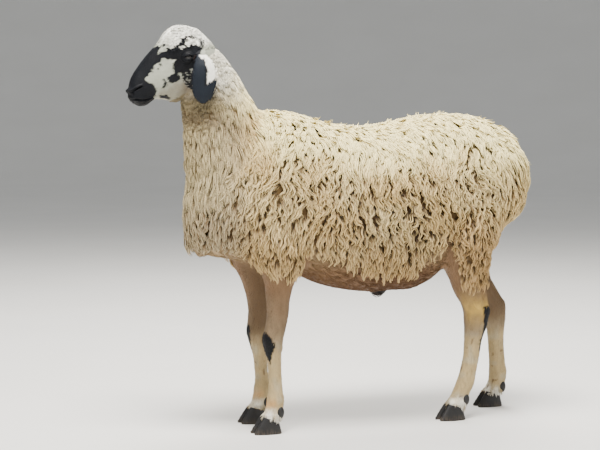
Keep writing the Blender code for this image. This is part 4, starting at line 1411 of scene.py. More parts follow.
class Shader:
    """A material that is being built."""

    def __init__(self, name: str) -> None:
        """Starts a material with a Principled shader and its output."""
        self.material = bpy.data.materials.new(name)
        self.material.use_nodes = True
        self.tree = self.material.node_tree
        self.principled = self.tree.nodes["Principled BSDF"]

    def set(self, target: bpy.types.NodeSocket, value: Any) -> None:
        """Links a Sock to a socket, or sets the socket's own value."""
        if isinstance(value, Sock):
            self.tree.links.new(value.socket, target)
        elif value is not None:
            target.default_value = value

    def node(
        self, kind: str, settings: dict[str, Any], *values: Any, out: str | int = 0, **named: Any
    ) -> Sock:
        """Adds a node.

        Args:
            kind: The node's type.
            settings: Its own settings, set first.
            values: Values or links of its inputs, in order; None leaves one alone.
            out: The output that is wanted, by name or place.
            named: Values or links of inputs by name, with _ for a space.

        Returns:
            The wanted output.
        """
        made = self.tree.nodes.new(kind)
        for word, value in settings.items():
            setattr(made, word, value)
        for socket, value in zip(made.inputs, values):
            self.set(socket, value)
        for word, value in named.items():
            self.set(made.inputs[word.replace("_", " ")], value)
        return Sock(self, made.outputs[out])

    def attribute(self, name: str, out: str) -> Sock:
        """An attribute of the mesh."""
        return self.node("ShaderNodeAttribute", {"attribute_name": name}, out=out)

    def place(self) -> Sock:
        """Object coordinates."""
        return self.node("ShaderNodeTexCoord", {}, out="Object")

    def stretched(self, vector: Sock, scale: Sequence[float]) -> Sock:
        """A vector multiplied by a number for each axis."""
        return self.node("ShaderNodeVectorMath", {"operation": "MULTIPLY"}, vector, tuple(scale))

    def noise(self, vector: Sock, scale: float, detail: float = 3.0) -> Sock:
        """Noise from 0 to 1."""
        return self.node("ShaderNodeTexNoise", {}, Vector=vector, Scale=scale, Detail=detail)

    def blend(self, share: Any, first: Any, second: Any) -> Sock:
        """Two colours mixed."""
        made = self.tree.nodes.new("ShaderNodeMix")
        made.data_type = "RGBA"
        for socket, value in zip([s for s in made.inputs if s.enabled], (share, first, second)):
            self.set(socket, value)
        return Sock(self, next(s for s in made.outputs if s.enabled))

    def shaded(self, colour: Sock, share: Sock) -> Sock:
        """A colour multiplied by a number."""
        return self.node("ShaderNodeVectorMath", {"operation": "SCALE"}, colour, Scale=share)

    def bump(self, height: Sock, depth: float, strength: float = 1.0) -> Sock:
        """A normal from a height of 0 to 1 that stands for depth metres."""
        return self.node("ShaderNodeBump", {}, Strength=strength, Distance=depth, Height=height)

    def finish(self, **inputs: Any) -> bpy.types.Material:
        """Sets the Principled shader's inputs, by name with _ for a space."""
        for word, value in inputs.items():
            self.set(self.principled.inputs[word.replace("_", " ")], value)
        return self.material


@dataclass(frozen=True)
class FleeceFinish:
    """Soft, greasy wool: the lock's own colour, darker in its grain."""

    name: str = "fleece_wool"
    roughness: float = 0.82

    def material(self) -> bpy.types.Material:
        """Colour times a fine grain along the lock, which also raises it."""
        made = Shader(self.name)
        grain = made.noise(made.stretched(made.attribute("strand", "Vector"), (26.0, 1.6, 9.0)), 1.0, 2.0)
        spots = made.noise(made.place(), 140.0)
        colour = made.shaded(made.attribute("tint", "Color"), 0.62 + 0.42 * grain + 0.34 * spots)
        return made.finish(
            Base_Color=colour,
            Roughness=self.roughness,
            Normal=made.bump(grain, 0.0006, 0.8),
            Specular_IOR_Level=0.25,
            Sheen_Weight=0.14,
            Sheen_Roughness=0.5,
        )


@dataclass(frozen=True)
class HairFinish:
    """Short hair: the markings' colour, with a fine grain."""

    name: str = "short_hair"
    roughness: float = 0.62

    def material(self) -> bpy.types.Material:
        """Colour times noise."""
        made = Shader(self.name)
        spots = made.noise(made.place(), 320.0)
        colour = made.shaded(made.attribute("tint", "Color"), 0.84 + 0.30 * spots)
        return made.finish(
            Base_Color=colour,
            Roughness=self.roughness,
            Specular_IOR_Level=0.20,
        )


@dataclass(frozen=True)
class SkinFinish:
    """The skin with its shortest hair lying flat on it."""

    name: str = "skin"

    def material(self) -> bpy.types.Material:
        """The markings, streaked along the lie of the hair, with bump from the same streaks."""
        made = Shader(self.name)
        flow = made.attribute("flow", "Vector")
        streaks = made.noise(flow, 1.0, 4.0)
        pores = made.noise(made.place(), 900.0, 2.0)
        colour = made.shaded(made.attribute("tint", "Color"), 0.68 + 0.48 * streaks + 0.16 * pores)
        height = 0.75 * streaks + 0.25 * pores
        return made.finish(
            Base_Color=colour,
            Roughness=0.42 + 0.30 * streaks,
            Normal=made.bump(height, 0.0009, 0.7),
            Specular_IOR_Level=0.20,
        )


@dataclass(frozen=True)
class HornFinish:
    """Dark claw horn, ringed and scuffed, paler towards the ground."""

    name: str = "claw_horn"

    def material(self) -> bpy.types.Material:
        """Rings by height, streaks down the wall, and dust near the sole."""
        made = Shader(self.name)
        place = made.place()
        rings = made.noise(made.stretched(place, (30.0, 30.0, 420.0)), 1.0, 3.0)
        streaks = made.noise(made.stretched(place, (260.0, 260.0, 40.0)), 1.0, 3.0)
        height = made.node("ShaderNodeSeparateXYZ", {}, place, out="Z")
        dust = (1 - height.between(0.0, 0.022)) * streaks.between(0.35, 0.7)
        dark = made.blend(streaks, (*srgb(9, 9, 12), 1.0), (*srgb(27, 25, 25), 1.0))
        colour = made.blend(dust * 0.30, dark, (*srgb(120, 104, 82), 1.0))
        return made.finish(
            Base_Color=colour,
            Roughness=0.34 + 0.30 * rings,
            Normal=made.bump(rings * 0.6 + streaks * 0.4, 0.0008, 0.8),
        )


@dataclass(frozen=True)
class EyeFinish:
    """A wet brown eye with a long level pupil; colours come from the mesh's own attribute."""

    name: str = "eye_wet"

    def material(self) -> bpy.types.Material:
        """Iris, pupil and white from the attribute tint, under a clear wet coat."""
        made = Shader(self.name)
        fibres = made.noise(made.stretched(made.attribute("spoke", "Vector"), (9.0, 1.2, 1.0)), 1.0, 3.0)
        colour = made.shaded(made.attribute("tint", "Color"), 0.55 + 0.9 * fibres)
        return made.finish(
            Base_Color=colour, Roughness=0.12, Coat_Weight=1.0, Coat_Roughness=0.02, IOR=1.38
        )


@dataclass(frozen=True)
class FloorFinish:
    """A plain pale studio floor."""

    name: str = "floor"

    def material(self) -> bpy.types.Material:
        """A faintly uneven pale grey."""
        made = Shader(self.name)
        cloud = made.noise(made.place(), 1.3, 2.0)
        colour = made.blend(cloud, (*srgb(222, 220, 215), 1.0), (*srgb(230, 228, 224), 1.0))
        return made.finish(Base_Color=colour, Roughness=0.85, Specular_IOR_Level=0.2)


# The coat


@dataclass(frozen=True)
class Lie:
    """Which way the coat lies."""

    body: Body

    def hang(self, points: Array, normals: Array, zone: Array) -> Array:
        """The direction that the coat would take in the open, before it is laid on the skin."""
        x, y, z = points.T
        side = np.sign(y)
        top = step(0.55, 0.95, normals[:, 2])
        along = (-0.34, -0.20, -0.05, 0.10, 0.40, 0.52, 0.70)
        back = np.interp(x, along, (-0.30, -0.42, -0.25, 0.05, 0.12, 0.20, 0.45))
        hang = stacked(back + 0.55 * top, side * (0.12 + 0.9 * top), -1.0 + 0.6 * top)
        rows = eased_at(NECK, z)
        across = np.clip((x - rows[:, 1]) / (rows[:, 2] - rows[:, 1]), 0, 1)
        neck = stacked(-0.06 + 0.50 * across, 0.10 * side, -1.0)
        down = stacked(0.04, 0.02 * side, -1.0)
        belly = stacked(1.0, 0.15 * side, -0.45)
        s, aside, t = self.body.frame.local(points)
        face = stacked(-1.0, 0.25 * np.sign(aside), -0.45 - 0.4 * step(0.0, -0.04, t))
        turn = np.array(self.body.frame.matrix().to_3x3())
        face = (face * (-1, 1, 1)) @ turn.T
        poll = stacked(0.75, 0.35 * side, -0.75)
        ways = {
            Zone.FACE: face, Zone.POLL: poll, Zone.NAPE: neck, Zone.EAR: down, Zone.NECK: neck,
            Zone.LIMB: down, Zone.BELLY: belly, Zone.LEG: down, Zone.CORONET: down,
        }
        conditions = [(zone == kind.value)[:, None] for kind in ways]
        return np.select(conditions, list(ways.values()), hang)

    def at(self, points: Array, normals: Array, zone: Array, swirl: Array, chance: Array) -> Array:
        """Unit directions along the skin.

        The open direction is laid on the skin, then turned about the normal by smooth noise
        of 6 and 2.2 cm, in radians times swirl, which all locks share, and by the lock's own
        chance.

        Args:
            points: Places on the skin.
            normals: The skin's normals there.
            zone: The zones there.
            swirl: How unruly the coat is there.
            chance: Each lock's own turn.

        Returns:
            The directions.
        """
        hang = self.hang(points, normals, zone)
        flat = unit(hang - normals * (hang * normals).sum(1, keepdims=True))
        angle = swirl * (0.55 * rough(points, 0.06, 31) + 0.75 * rough(points, 0.022, 32)) + chance
        return flat * np.cos(angle)[:, None] + np.cross(normals, flat) * np.sin(angle)[:, None]


@dataclass(frozen=True)
class Lock:
    """Sizes of one kind of lock, which is a bunch of strands, in metres."""

    pitch: float  # how far apart locks grow
    length: float
    half: float  # half a strand's width
    height: float  # how high it stands over the skin
    strands: int = 1
    spread: float = 0.0  # half the width of a lock
    gather: float = 0.85  # how far its strands draw together at the tip, from 0 to 1
    stretch: float = 1.0  # how many times farther apart locks grow down the body
    wave: float = 0.0  # how far a lock sways
    waves: float = 1.5  # how often
    swirl: float = 0.5  # how unruly
    thick: float = 0.55  # a strand's depth over its width
    rings: tuple[float, ...] = (0.0, 0.16, 0.32, 0.46, 0.60, 0.74, 0.88)
    tip: float = 0.70  # how high its tip stands, in parts of its height
    even: float = 0.74  # how long its shortest strand is, in parts of its length
    free: float = 0.0  # how far its tip hangs clear where the skin faces down


@dataclass(frozen=True)
class Coat:
    """One stretch of the coat: which zone, which finish, what locks."""

    name: str
    zone: Zone
    slot: str
    lock: Lock

    @property
    def woolly(self) -> bool:
        """Whether it is fleece."""
        return self.slot == "fleece"

    def roots(self, hide: Hide, draw: np.random.Generator) -> tuple[Array, Array, Array]:
        """Even places on the skin: 4.5 by chance for each box of a grid, then the first in each.

        Args:
            hide: The skin.
            draw: The random draw.

        Returns:
            Points, normals and zones.
        """
        faces = hide.surface.triangles()
        faces = faces[hide.zone[faces[:, 0]] == self.zone.value]
        a, b, c = np.moveaxis(hide.surface.points[faces], 1, 0)
        area = np.linalg.norm(np.cross(b - a, c - a), axis=1) / 2
        box = 1.22 * self.lock.pitch * np.array((1.0, 1.0, self.lock.stretch))
        count = int(4.5 * area.sum() / (box[0] * box[2]))
        pick = draw.choice(len(area), count, p=area / area.sum())
        share = draw.dirichlet((1.0, 1.0, 1.0), count)
        points = np.einsum("nk,nkc->nc", share, hide.surface.points[faces[pick]])
        normals = unit(np.einsum("nk,nkc->nc", share, hide.normals[faces[pick]]))
        shifted = points / box + 0.5 * rough(points, 0.03, 40)[:, None]
        _, first = np.unique(np.floor(shifted).astype(np.int64), axis=0, return_index=True)
        return points[first], normals[first], hide.zone[faces[pick[first], 0]]

    def long(self, body: Body, points: Array, draw: np.random.Generator) -> Array:
        """Lengths of the locks: less by chance, towards the head and along the back.

        Args:
            body: The body.
            points: Roots.
            draw: The random draw.

        Returns:
            One length a lock.
        """
        x, _, z = points.T
        length = self.lock.length * draw.uniform(0.78, 1.14, len(points))
        if self.woolly:
            length *= 0.30 + 0.70 * step(-0.02, -0.22, body.head_side(points))
            length *= 1 - 0.30 * step(0.78, 0.86, z) * step(-0.20, -0.10, x)
            length *= 1 - 0.35 * step(0.60, 0.53, z) * step(-0.16, -0.24, x)
        if self.zone is Zone.POLL:
            length *= 0.5 + 0.5 * self.crown(body, points)
        if self.zone is Zone.CORONET:
            length *= 0.5 + 0.5 * step(-0.5, 0.5, rough(points, 0.012, 43))
        return length

    def tall(self, body: Body, points: Array) -> Array:
        """How high the locks stand: the fleece's depth at each place."""
        if self.zone is Zone.POLL:
            return self.lock.height * self.crown(body, points)
        if self.zone not in (Zone.NECK, Zone.NAPE):
            return np.full(len(points), self.lock.height)
        share = np.interp(points[:, 2], [r.z for r in NECK], [r.coat for r in NECK])
        behind = 0.35 + 0.65 * step(0.02, -0.09, body.head_side(points))
        return self.lock.height * np.maximum(share, 0.35) * behind

    @staticmethod
    def crown(body: Body, points: Array) -> Array:
        """How woolly the poll is: a bell over the top of the head, 0.2 at its edges."""
        s, _, t = body.frame.local(points)
        return 0.2 + 0.8 * bell(s, 0.018, 0.040) * step(0.030, 0.060, t)

    def curl(self, points: Array) -> Array:
        """How curly the coat is: most low on the flanks, in patches, and least on back and neck."""
        if not self.woolly:
            return np.ones(len(points))
        x, _, z = points.T
        low = bell(x, 0.28, 0.20, z, 0.64, 0.12)
        calm = step(0.74, 0.84, z) + step(-0.20, -0.28, x)
        return np.clip(0.8 + 0.9 * low + 0.6 * rough(points, 0.08, 35) - 0.5 * calm, 0.15, 2.2)

    def paths(
        self, hide: Hide, lie: Lie, points: Array, normals: Array, zone: Array, draw: np.random.Generator
    ) -> tuple[Array, Array]:
        """The middle line of every lock, which follows the lie of the coat over the skin.

        Args:
            hide: The skin.
            lie: Which way the coat lies.
            points: Roots.
            normals: The skin's normals there.
            zone: The zones there.
            draw: The random draw.

        Returns:
            Places on the skin and the normals there, each an array of locks, rings and
            coordinates.
        """
        lock = self.lock
        length = self.long(hide.body, points, draw)[:, None]
        chance = draw.normal(0.0, 0.22 * lock.swirl, len(points))
        hem = (zone == Zone.CORONET.value)[:, None]
        loose = np.where(hem, 1.0, step(0.05, -0.35, normals[:, 2])[:, None] * lock.free)
        flare = 0.15 + 0.75 * hem * np.clip(-normals[:, :1], 0, 1) ** 2
        down = np.array((0.0, 0.0, -1.0)) + flare * normals
        places, ups = [points], [normals]
        for gap in np.diff((*lock.rings, 1.0)):
            swirl = lock.swirl * self.curl(places[-1])
            way = lie.at(places[-1], ups[-1], zone, swirl, chance) * (1 - loose) + down * loose
            place, normal = places[-1] + way * length * gap, ups[-1]
            if lock.length > 0.013:
                ground, below = hide.ground(place)
                place = ground * (1 - loose) + place * loose
                normal = unit(below * (1 - loose) + normal * loose)
            places.append(place)
            ups.append(normal)
        return np.stack(places, axis=1), np.stack(ups, axis=1)

    def shapes(self, body: Body, line: Array, ups: Array, calm: Array, draw: np.random.Generator) -> Array:
        """The points of every strand.

        A strand goes u of its lock's line, beside it by spread (1 - gather u^1.5) times its
        place in the fan, and sways by wave sin(2 pi waves u + phase) u. It is raised by
        height (1 - (1 - u / 0.45)^2) up to 0.45, then sinks a little, and less at the lock's
        sides. Its section is a low triangle whose half width grows to the middle and closes
        at the tip.

        Args:
            body: The body.
            line: The locks' lines on the skin.
            ups: The normals there.
            calm: How smooth the coat is at each root, from 0 to 1.
            draw: The random draw.

        Returns:
            An array of strands, points of a strand, and coordinates.
        """
        lock, count = self.lock, len(line)
        size = (count, lock.strands, 1)
        knots = np.array((*lock.rings, 1.0))
        fan = np.linspace(-1, 1, lock.strands) if lock.strands > 1 else np.zeros(1)
        fan = fan[:, None] + draw.normal(0, 0.22, size)
        u = knots * draw.uniform(lock.even, 1.0, size)
        index = np.clip(np.searchsorted(knots, u, "right") - 1, 0, len(knots) - 2)
        part = ((u - knots[index]) / (knots[index + 1] - knots[index]))[..., None]
        rows = np.arange(count)[:, None, None]
        tangent = unit(np.gradient(line, axis=1))
        sides = unit(np.cross(ups, tangent))
        middle, up, across = (
            each[rows, index] * (1 - part) + each[rows, index + 1] * part for each in (line, ups, sides)
        )
        up, across, u = unit(up), unit(across), u[..., None]
        root = line[:, 0]
        still = calm[:, None, None, None]
        curl = self.curl(root)[:, None, None, None]
        phase = 5.0 * rough(root, 0.045, 33) + draw.normal(0, 0.5, count)
        phase = phase[:, None, None, None] + draw.normal(0, 0.25, size)[..., None]
        sway = lock.wave * curl * np.sin(2 * math.pi * lock.waves * u + phase) * np.minimum(1.6 * u, 1)
        beside = lock.spread * (1 + 0.25 * still) * (1 - lock.gather * (1 - 0.6 * still) * u**1.5)
        aside = fan[..., None] * beside + sway
        wisp = (draw.random((count, 1, 1, 1)) > 0.92) * (0.10 + 0.90 * still)
        drop = (1 - lock.tip - 1.3 * wisp) * ((u - 0.45) / 0.55) ** 2
        rise = np.where(u < 0.45, 1 - (1 - u / 0.45) ** 2, 1.0 - drop)
        tall = 1 - 0.30 * draw.random((count, 1, 1)) * (1 - 0.6 * still[..., 0])
        tall = tall * self.tall(body, root)[:, None, None]
        tall = tall * (1 - 0.28 * fan**2 * (1 - calm[:, None, None])) * draw.uniform(0.90, 1.05, size)
        sink = (0.0012 + 0.05 * lock.height) * (1 - u)
        middle = middle + up * (tall[..., None] * rise - sink) + across * aside
        roll = draw.normal(0.0, 0.25, size)[..., None] * (1 - 0.7 * still)
        flat = across * np.cos(roll) + up * np.sin(roll)
        crown = up * np.cos(roll) - across * np.sin(roll)
        swell = (0.60 + 0.40 * np.sin(math.pi * np.minimum(u * 1.15, 1.0))) * (1 - 0.55 * u**3)
        half = lock.half * (1 + 0.4 * still) * draw.uniform(0.75, 1.25, size)[..., None] * swell
        ridge = crown * half * lock.thick * (2 - 1.1 * still)
        ends = [middle - flat * half, middle + ridge, middle + flat * half]
        rings = np.stack(ends, axis=3)[:, :, :-1].reshape(count * lock.strands, -1, 3)
        return np.concatenate([rings, middle[:, :, -1:].reshape(len(rings), 1, 3)], axis=1)

    def tints(
        self, marks: Markings, points: Array, normals: Array, zone: Array, draw: np.random.Generator
    ) -> Array:
        """The colours of every strand's points: darker at the root, and at the edges by a painted shade.

        Args:
            marks: The markings.
            points: Roots of the locks.
            normals: The skin's normals there.
            zone: The zones there.
            draw: The random draw.

        Returns:
            An array of strands, points of a strand, and colours.
        """
        count, strands = len(points), self.lock.strands
        u = np.append(np.repeat(self.lock.rings, 3), 1.0)[:, None]
        # The sides of each strand are darker than its ridge: a painted shade.
        edge = np.append(np.tile((0.50, 1.0, 0.50), len(self.lock.rings)), 1.0)[:, None]
        vary = draw.uniform(0.90, 1.08, (count, 1, 1, 1)) * draw.uniform(0.92, 1.05, (count, strands, 1, 1))
        if self.woolly:
            light, dark = (c[:, None, None] for c in marks.fleece(points, normals))
            share = step(0.14, 0.58, u + 0.06 * draw.normal(0, 1, (count, strands, 1, 1))) * edge
            tint = (dark * (1 - share) + light * share) * vary
        else:
            if self.zone in (Zone.FACE, Zone.EAR):
                vary = 0.5 + 0.5 * vary
            tint = marks.skin(points, normals, zone)[:, None, None] * vary * (0.88 + 0.16 * u)
        return tint.reshape(count * strands, -1, 3)

    def grown(
        self, hide: Hide, lie: Lie, marks: Markings, draw: np.random.Generator
    ) -> list[bpy.types.Object]:
        """Grows the locks and puts them into as many pieces as their count asks for.

        Args:
            hide: The skin.
            lie: Which way they lie.
            marks: Their colours.
            draw: The random draw.

        Returns:
            The pieces.
        """
        points, normals, zone = self.roots(hide, draw)
        line, ups = self.paths(hide, lie, points, normals, zone, draw)
        shape = self.shapes(hide.body, line, ups, marks.calm(points, normals), draw)
        tint = self.tints(marks, points, normals, zone, draw)
        spread = unrolled(hide.body, shape[:, 1], np.repeat(zone, self.lock.strands))
        material = (FleeceFinish() if self.woolly else HairFinish()).material()
        faces = 6 * (len(self.lock.rings) - 1) + 4
        order = np.argsort(shape[:, 1, 1] > 0, kind="stable")
        pieces = []
        count = math.ceil(len(order) * faces / PIECE_TRIANGLES)
        for number, some in enumerate(np.array_split(order, count)):
            surface, strand = knitted(shape[some])
            bake = spread[some, None] + 0.0015 * strand_patch(len(self.lock.rings))
            piece = mesh_object(
                f"{self.name}_{number + 1}",
                surface,
                material,
                {"strand": strand},
                {"tint": tint[some].reshape(-1, 3)},
                bake.reshape(-1, 2),
            )
            pieces.append(piece)
        return pieces


def strand_patch(rings: int) -> Array:
    """Where each point of a strand lies in its square patch, from -1 to 1."""
    u = np.append(np.repeat(np.linspace(-1, 0.8, rings), 3), 1.0)
    across = np.append(np.tile((-1.0, 0.0, 1.0), rings), 0.0)
    return stacked(across, u)


def knitted(shape: Array) -> tuple[Surface, Array]:
    """Joins the points of strands into closed surfaces: three sides, a root cap and a pointed tip.

    Args:
        shape: An array of strands, three points a ring and one for the tip, and coordinates.

    Returns:
        The surface of all strands, and each point's place across, along and from one to the next.
    """
    count, size = shape.shape[:2]
    rings = (size - 1) // 3
    side, ring = np.meshgrid(np.arange(3), np.arange(rings - 1))
    beside = (side + 1) % 3
    quads = stacked(3 * ring + side, 3 * ring + beside, 3 * ring + 3 + beside, 3 * ring + 3 + side)
    last = 3 * (rings - 1)
    tris = np.array([(0, 2, 1)] + [(last + i, last + (i + 1) % 3, size - 1) for i in range(3)])
    start = size * np.arange(count)[:, None, None]
    one = Surface(shape[0], quads.reshape(-1, 4), tris)
    if one.outward() is not one:
        quads, tris = quads[..., ::-1], tris[:, ::-1]
    faces = (quads.reshape(1, -1, 4) + start).reshape(-1, 4), (tris[None] + start).reshape(-1, 3)
    patch = strand_patch(rings)
    strand = np.broadcast_to(patch, (count, size, 2))
    number = np.broadcast_to(0.37 * np.arange(count)[:, None, None], (count, size, 1))
    return Surface(shape.reshape(-1, 3), *faces), np.concatenate([strand, number], 2).reshape(-1, 3)


def unrolled(body: Body, points: Array, zone: Array) -> Array:
    """Places of points on the skin's own unrolled shape, between 0 and 1 both ways.

    Round and along the trunk, the head or an ear, and round and along each leg, with the
    legs side by side; then the piece's own stretch of it is drawn to fill the square.

    Args:
        body: The body.
        points: Points of the skin.
        zone: Their zones.

    Returns:
        Two numbers a point.
    """
    x, y, z = points.T
    places = stacked(np.arctan2(y, z - 0.62) / math.pi, x)
    s, side, t = body.frame.local(points)
    on_head = np.isin(zone, (Zone.FACE.value, Zone.POLL.value))
    places[on_head] = stacked(np.arctan2(side, t) / math.pi, s)[on_head]
    neck = zone == Zone.NECK.value
    places[neck] = stacked(np.arctan2(y, x + 0.20 + 0.3 * (z - 0.8)) / math.pi, z)[neck]
    for number, ear in enumerate(body.ears()):
        held = ear.holds(points) & (zone == Zone.EAR.value)
        drop, across, off = ear.local(points[held])
        places[held] = stacked(2 * number + (off > 0) + across, drop)
    for number, leg in enumerate(body.legs()):
        held = leg.holds(points) & np.isin(zone, (Zone.LEG.value, Zone.LIMB.value, Zone.CORONET.value))
        back, out = leg.local(points[held])
        places[held] = np.stack([number + 0.5 + np.arctan2(out, back) / 7.0, z[held]], axis=1)
    low, high = places.min(axis=0), places.max(axis=0)
    return 0.004 + 0.992 * (places - low) / np.maximum(high - low, 1e-6)


COATS = (
    Coat("fleece_body", Zone.BODY, "fleece", Lock(
        pitch=0.0088, stretch=1.8, length=0.064, half=0.0024, height=0.0170, strands=3, spread=0.0040,
        wave=0.0040, waves=1.9, swirl=0.70, free=0.7)),
    Coat("fleece_rump", Zone.RUMP, "fleece", Lock(
        pitch=0.0086, stretch=1.9, length=0.060, half=0.0024, height=0.0170, strands=3, spread=0.0038,
        wave=0.0036, waves=1.7, swirl=0.65, free=0.7)),
    Coat("fleece_neck", Zone.NECK, "fleece", Lock(
        pitch=0.0078, stretch=1.9, length=0.076, half=0.0012, height=0.0165, strands=6, spread=0.0056,
        gather=0.60, wave=0.0016, waves=1.3, swirl=0.50, rings=(0.0, 0.20, 0.40, 0.60, 0.80), free=0.5)),
    Coat("fleece_limb", Zone.LIMB, "fleece", Lock(
        pitch=0.0078, stretch=1.7, length=0.042, half=0.0021, height=0.0100, strands=3, spread=0.0032,
        wave=0.0024, waves=1.6, swirl=0.75, rings=(0.0, 0.18, 0.36, 0.52, 0.68, 0.84), free=0.5)),
    Coat("fleece_nape", Zone.NAPE, "fleece", Lock(
        pitch=0.0066, stretch=1.5, length=0.062, half=0.0008, height=0.0150, strands=8, spread=0.0056,
        gather=0.45, wave=0.0012, waves=1.3, swirl=0.50, rings=(0.0, 0.33, 0.66), even=0.5)),
    Coat("hair_poll", Zone.POLL, "short_hair", Lock(
        pitch=0.0058, length=0.0210, half=0.0008, height=0.0052, strands=5, spread=0.0030,
        gather=0.6, wave=0.0012, waves=1.2, swirl=0.9, rings=(0.0, 0.3, 0.6), tip=0.4, even=0.6)),
    Coat("hair_face", Zone.FACE, "short_hair", Lock(
        pitch=0.0026, length=0.0070, half=0.00045, height=0.0007, swirl=0.35, rings=(0.0, 0.5),
        tip=0.10)),
    Coat("hair_ears", Zone.EAR, "ear_hair", Lock(
        pitch=0.0028, length=0.0070, half=0.0005, height=0.0006, swirl=0.35, rings=(0.0, 0.5),
        tip=0.10)),
    Coat("hair_legs", Zone.LEG, "short_hair", Lock(
        pitch=0.0046, length=0.0120, half=0.0006, height=0.0011, swirl=0.4, rings=(0.0, 0.5),
        tip=0.25)),
    Coat("hair_coronet", Zone.CORONET, "short_hair", Lock(
        pitch=0.0040, length=0.0210, half=0.0010, height=0.0022, strands=3, spread=0.0020,
        gather=0.7, swirl=0.5, rings=(0.0, 0.35, 0.7), tip=0.8, even=0.6)),
    Coat("hair_belly", Zone.BELLY, "short_hair", Lock(
        pitch=0.0110, length=0.0300, half=0.0009, height=0.0024, strands=3, spread=0.0045, gather=0.4,
        wave=0.0010, swirl=0.5, rings=(0.0, 0.35, 0.7), tip=0.3)),
)


# Eyes and claws


@dataclass(frozen=True)
class Eyeball:
    """The ball of an eye, with a bulging cornea."""

    eye: Eye
    cornea: float = 0.0011
    iris: float = 0.0090
    pupil: tuple[float, float] = (0.0050, 0.0017)

    def object(self, material: bpy.types.Material) -> bpy.types.Object:
        """Rings round the outward axis; the radius grows by a flat-topped bell over the iris.

        Args:
            material: The finish.

        Returns:
            The object, with its colours in the attribute tint.
        """
        side = self.eye.side
        lift, turn = np.linspace(0.004, math.pi - 0.004, 64)[:, None], turned(64)
        radius = self.eye.radius + self.cornea * np.exp(-((lift / 0.52) ** 4)) - 0.0001
        across, along = radius * np.sin(lift), radius * np.cos(lift)
        shape = stacked(across * np.cos(turn), side * along, across * np.sin(turn))
        surface = lofted(shape)
        x, _, z = surface.points.T
        front = side * surface.points[:, 1] > 0
        away = np.hypot(x, z)
        # The white of the eye is near black: a painted shade under the lids.
        tint = np.tile(srgb(24, 20, 20), (len(x), 1))
        ring = step(self.iris + 0.0006, self.iris - 0.0004, away) * front
        amber = mixed(srgb(28, 18, 12), srgb(13, 9, 8), step(0.4, 1.0, away / self.iris))
        tint = mixed(tint, amber, ring)
        slot = ((x / self.pupil[0]) ** 4 + (z / self.pupil[1]) ** 4) ** 0.25
        tint = mixed(tint, srgb(6, 6, 8), step(1.15, 0.92, slot) * front)
        spoke = stacked(np.arctan2(z, x), away * 300, 0 * x)
        word = "left" if side < 0 else "right"
        return mesh_object(
            f"eyeball_{word}", surface.placed(self.eye.matrix()), material, {"spoke": spoke}, {"tint": tint}
        )


@dataclass(frozen=True)
class Foot:
    """The two claws and two dewclaws of a leg."""

    leg: Leg
    toe: float = 0.056
    heel: float = 0.030
    half: float = 0.0142
    cleft: float = 0.0035
    top_half: float = 0.0115
    top_front: float = 0.0225
    top_back: float = 0.0225
    dewclaw_z: float = 0.060
    dewclaw_root_z: float = 0.064
    dewclaw_sunk: float = 0.009
    dewclaw: tuple[float, float, float] = (0.0125, 0.0120, 0.0180)
    dewclaw_aside: float = 0.0150
    gap: float = 0.0003

    def claw(self, inner: int, count: int = 22, sides: int = 40) -> Surface:
        """Rings from the sole up to the sloping coronet, rounded under the rim of the sole.

        x = middle + front or back c, y = aside + half s pinched at the toe, and z runs up the
        wall with a little roll at the sole.

        Args:
            inner: The side of the cleft, -1 or 1 along Y.
            count: Rings.
            sides: Points of a ring.

        Returns:
            The claw.
        """
        end = self.leg.table()[0]
        u = np.linspace(0, 1, count)[:, None]
        c, s = powered(np.cos(turned(sides)), 2.3), powered(np.sin(turned(sides)), 2.6)
        front = self.toe + (self.top_front - self.toe) * u**0.85
        back = self.heel + (self.top_back - self.heel) * u
        half = self.half + (self.top_half - self.half) * u
        wall = 1 - 0.10 * bell(u, 0.0, 0.05) + 0.012 * np.sin(u * 26) * (1 - u)
        pinch = np.where(c < 0, 1 - 0.35 * np.abs(c) ** 3, 1.0)
        x = end[1] + np.where(c < 0, front * c, back * c) * wall
        middle = self.leg.side * end[4] - inner * (self.cleft / 2 + half)
        y = middle + half * s * pinch * wall
        top = end[0] - self.gap - self.leg.slope * (x - end[1])
        return lofted(stacked(x, y, u * top))

    def dewclaw_shape(self, inner: int) -> Surface:
        """A blunt cone behind the fetlock: a ball whose lower half is drawn out and back."""
        rows = eased_at(self.leg.table(), np.array([self.dewclaw_root_z]))[0]
        x = rows[1] + rows[2] - self.dewclaw_sunk
        y = self.leg.side * (rows[4] + inner * self.dewclaw_aside)
        surface = ball((0, 0, 0), self.dewclaw, 18, 26)
        low = step(0.2, -1.0, surface.points[:, 2] / self.dewclaw[2])
        surface.points[:, 0] += 0.002 * low - 0.2 * surface.points[:, 0] * low
        surface.points += np.array((x, y, self.dewclaw_z))
        return surface

    def objects(self, material: bpy.types.Material) -> list[tuple[bpy.types.Object, str]]:
        """The four pieces, each with the CAD node that it stands for."""
        made = []
        for inner, which in ((self.leg.side, "inner"), (-self.leg.side, "outer")):
            name = f"{self.leg.name}_{which}"
            made.append((mesh_object(f"horn_{name}", self.claw(inner), material), f"claw_{name}"))
        for inner, which in ((-1, "inner"), (1, "outer")):
            name = f"{self.leg.name}_{which}"
            shape = self.dewclaw_shape(inner)
            made.append((mesh_object(f"spur_{name}", shape, material), f"dewclaw_{name}"))
        return made


# The studio


